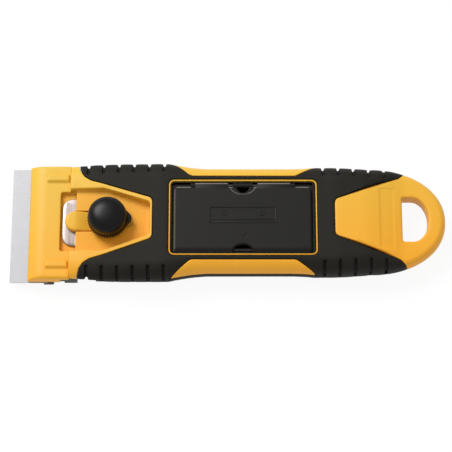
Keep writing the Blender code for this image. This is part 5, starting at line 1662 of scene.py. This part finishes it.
# %% One screw
HEAD_HEIGHT = 1.7 * MM
HEAD_CURVE = ((0.5, 0), (1.9, 0), (2.4, 0.3), (2.6, 0.8), (2.6, 1.6), (2.5, 1.7))
SHANK_ROOT, SHANK, SHANK_TIP = 1.0 * MM, 1.3 * MM, 0.3 * MM
SCREW_TURNS, SCREW_PITCH, SCREW_START, SCREW_RISE = 7, 0.8 * MM, 0.3 * MM, 0.3 * MM
SHANK_END, SCREW_LENGTH = 6.0 * MM, 7.0 * MM
CROSS_WIDE, CROSS_NARROW, CROSS_DEPTH, CROSS_LIP = 1.6 * MM, 0.4 * MM, 0.9 * MM, 0.05 * MM
screw_profile = [(radius * MM, height * MM - HEAD_HEIGHT) for radius, height in HEAD_CURVE]
screw_profile.append((SHANK_ROOT, 0))
for k in range(SCREW_TURNS):
    base = SCREW_START + SCREW_PITCH * k
    screw_profile += [(SHANK_ROOT, base), (SHANK, base + SCREW_RISE), (SHANK_ROOT, base + 2 * SCREW_RISE)]
screw_profile += [(SHANK_ROOT, SHANK_END), (SHANK_TIP, SCREW_LENGTH)]
one_screw = finished("one_screw", turned(screw_profile, 0, steps=24), zinc)
for half_x, half_y in ((CROSS_NARROW, CROSS_WIDE), (CROSS_WIDE, CROSS_NARROW)):
    bar = rectangle(-half_x, half_x, -half_y, half_y)
    cross = finished("cross", plate(bar, -2 * HEAD_HEIGHT, CROSS_DEPTH - HEAD_HEIGHT, CROSS_LIP), zinc)
    modifier = one_screw.modifiers.new("Cross", "BOOLEAN")
    modifier.operation = "DIFFERENCE"
    modifier.object = cross
    one_screw.data = plain_mesh(one_screw)
    bpy.data.objects.remove(cross)
smoothed(one_screw.data)

# %% [markdown]
# The seats are read from the solids, so a screw can't miss its bore. The tree takes them as a mesh of
# points without faces.

# %% Screws on their places
screw_nodes = [name for name in sorted(frame["nodes"]) if "_screw_" in name]
seats = []
for name in screw_nodes:
    low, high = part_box(name)
    seats.append(((low.x + high.x) / 2, (low.y + high.y) / 2, low.z + HEAD_HEIGHT))
screw_sizes = {"Size": 1.0}
tree, given, result = new_tree("Screws on points", screw_sizes)
settings = {"transform_space": "ORIGINAL"}
source = add_node(tree, "GeometryNodeObjectInfo", settings, {"Object": one_screw}, "Geometry")
spread(tree, result, {"Points": given["Geometry"], "Instance": source, "Scale": given["Size"]}, zinc)
points = bpy.data.meshes.new("screw_places")
points.from_pydata(seats, [], [])
screws = placed("screws", points)
screws.data = run_tree(screws, tree, screw_sizes)
bpy.data.objects.remove(one_screw)
handed_over(screws, "handle", screw_nodes)

# %% [markdown]
# The hinge pin keeps its solid and only gets a finish: spring steel, dark from its tempering.

# %% Finish for the solid that stays
spring_steel = Finish("spring_steel", (0.08, 0.08, 0.085), 0.45, 1.0)
temper = spring_steel.noise(1.2 * MM)
spring_steel.paint(temper, (0.06, 0.06, 0.065), (0.10, 0.10, 0.105))
spring_steel.feed("Roughness", 0.40 + 0.10 * temper)
pin = frame["nodes"]["hinge_pin"]
pin.data.materials.clear()
pin.data.materials.append(spring_steel.material)

# %% [markdown]
# ## Floor, light and camera
# The scraper was photographed from above and slightly in front, on a white ground, with a large soft light
# from behind and to the left. A lit floor would come out grey, and a glowing one would lose the soft
# shadow. So the floor glows for the camera and for mirrors, and is plain paper for all other light.

# %% White floor
FLOOR_HALF_SIDE = 3.0
FLOOR_DROP = 5e-5
WHITE_SHARE = 0.92
floor_mesh = bpy.data.meshes.new("floor")
corners = rectangle(-FLOOR_HALF_SIDE, FLOOR_HALF_SIDE, -FLOOR_HALF_SIDE, FLOOR_HALF_SIDE)
floor_mesh.from_pydata([(x, y, -FLOOR_DROP) for x, y in corners], [], [(0, 1, 2, 3)])
placed("floor", floor_mesh)

paper = Finish("white_paper", (0.95, 0.95, 0.95), 0.9)
seen = paper.node("ShaderNodeLightPath", {}, {}, "Is Camera Ray")
for ray in ("Is Glossy Ray", "Is Transmission Ray"):
    seen = seen.maths("MAXIMUM", seen, paper.node("ShaderNodeLightPath", {}, {}, ray))
white = paper.node("ShaderNodeEmission", {}, {"Color": (1, 1, 1, 1), "Strength": 1.0})
lit = Socket(paper.tree, paper.shader.outputs["BSDF"])
mixed = paper.node("ShaderNodeMixShader", {}, {0: seen * WHITE_SHARE, 1: lit, 2: white})
paper.tree.links.new(mixed.socket, paper.tree.nodes["Material Output"].inputs["Surface"])
floor_mesh.materials.append(paper.material)

# %% [markdown]
# The white world fills the shadows, and one large round lamp behind the scraper gives the soft highlights
# along its far edges.

# %% World and lamp
world = bpy.data.worlds.new("studio")
bpy.context.scene.world = world
world.use_nodes = True
world.node_tree.nodes["Background"].inputs["Color"].default_value = (1, 1, 1, 1)
world.node_tree.nodes["Background"].inputs["Strength"].default_value = 0.6


def aimed(thing, place, target):
    """Put a lamp or a camera at a place and turn it to look at a target."""
    thing.location = place
    thing.rotation_euler = (Vector(target) - Vector(place)).to_track_quat("-Z", "Y").to_euler()


def soft_lamp(name, place, target, size, power):
    lamp = bpy.data.lights.new(name, "AREA")
    lamp.shape = "DISK"
    lamp.size = size
    lamp.energy = power
    aimed(placed(name, lamp), place, target)


soft_lamp("key", (-0.9, 0.9, 1.55), (0, 0, 0), 1.0, 29)

# %% [markdown]
# The camera stands above and a little in front of the scraper, at the photograph's angle. A long lens far
# away keeps the two ends of the scraper nearly the same size.

# %% Camera
DISTANCE = 0.86
ELEVATION = math.radians(72)
TARGET = Vector((-0.9 * MM, 0, 4.2 * MM))
camera = placed("camera", bpy.data.cameras.new("camera"))
aimed(camera, TARGET + DISTANCE * Vector((0, -math.cos(ELEVATION), math.sin(ELEVATION))), TARGET)
camera.data.sensor_width = 36
camera.data.lens = 135.2
bpy.context.scene.camera = camera
bpy.context.scene.view_settings.view_transform = "Standard"
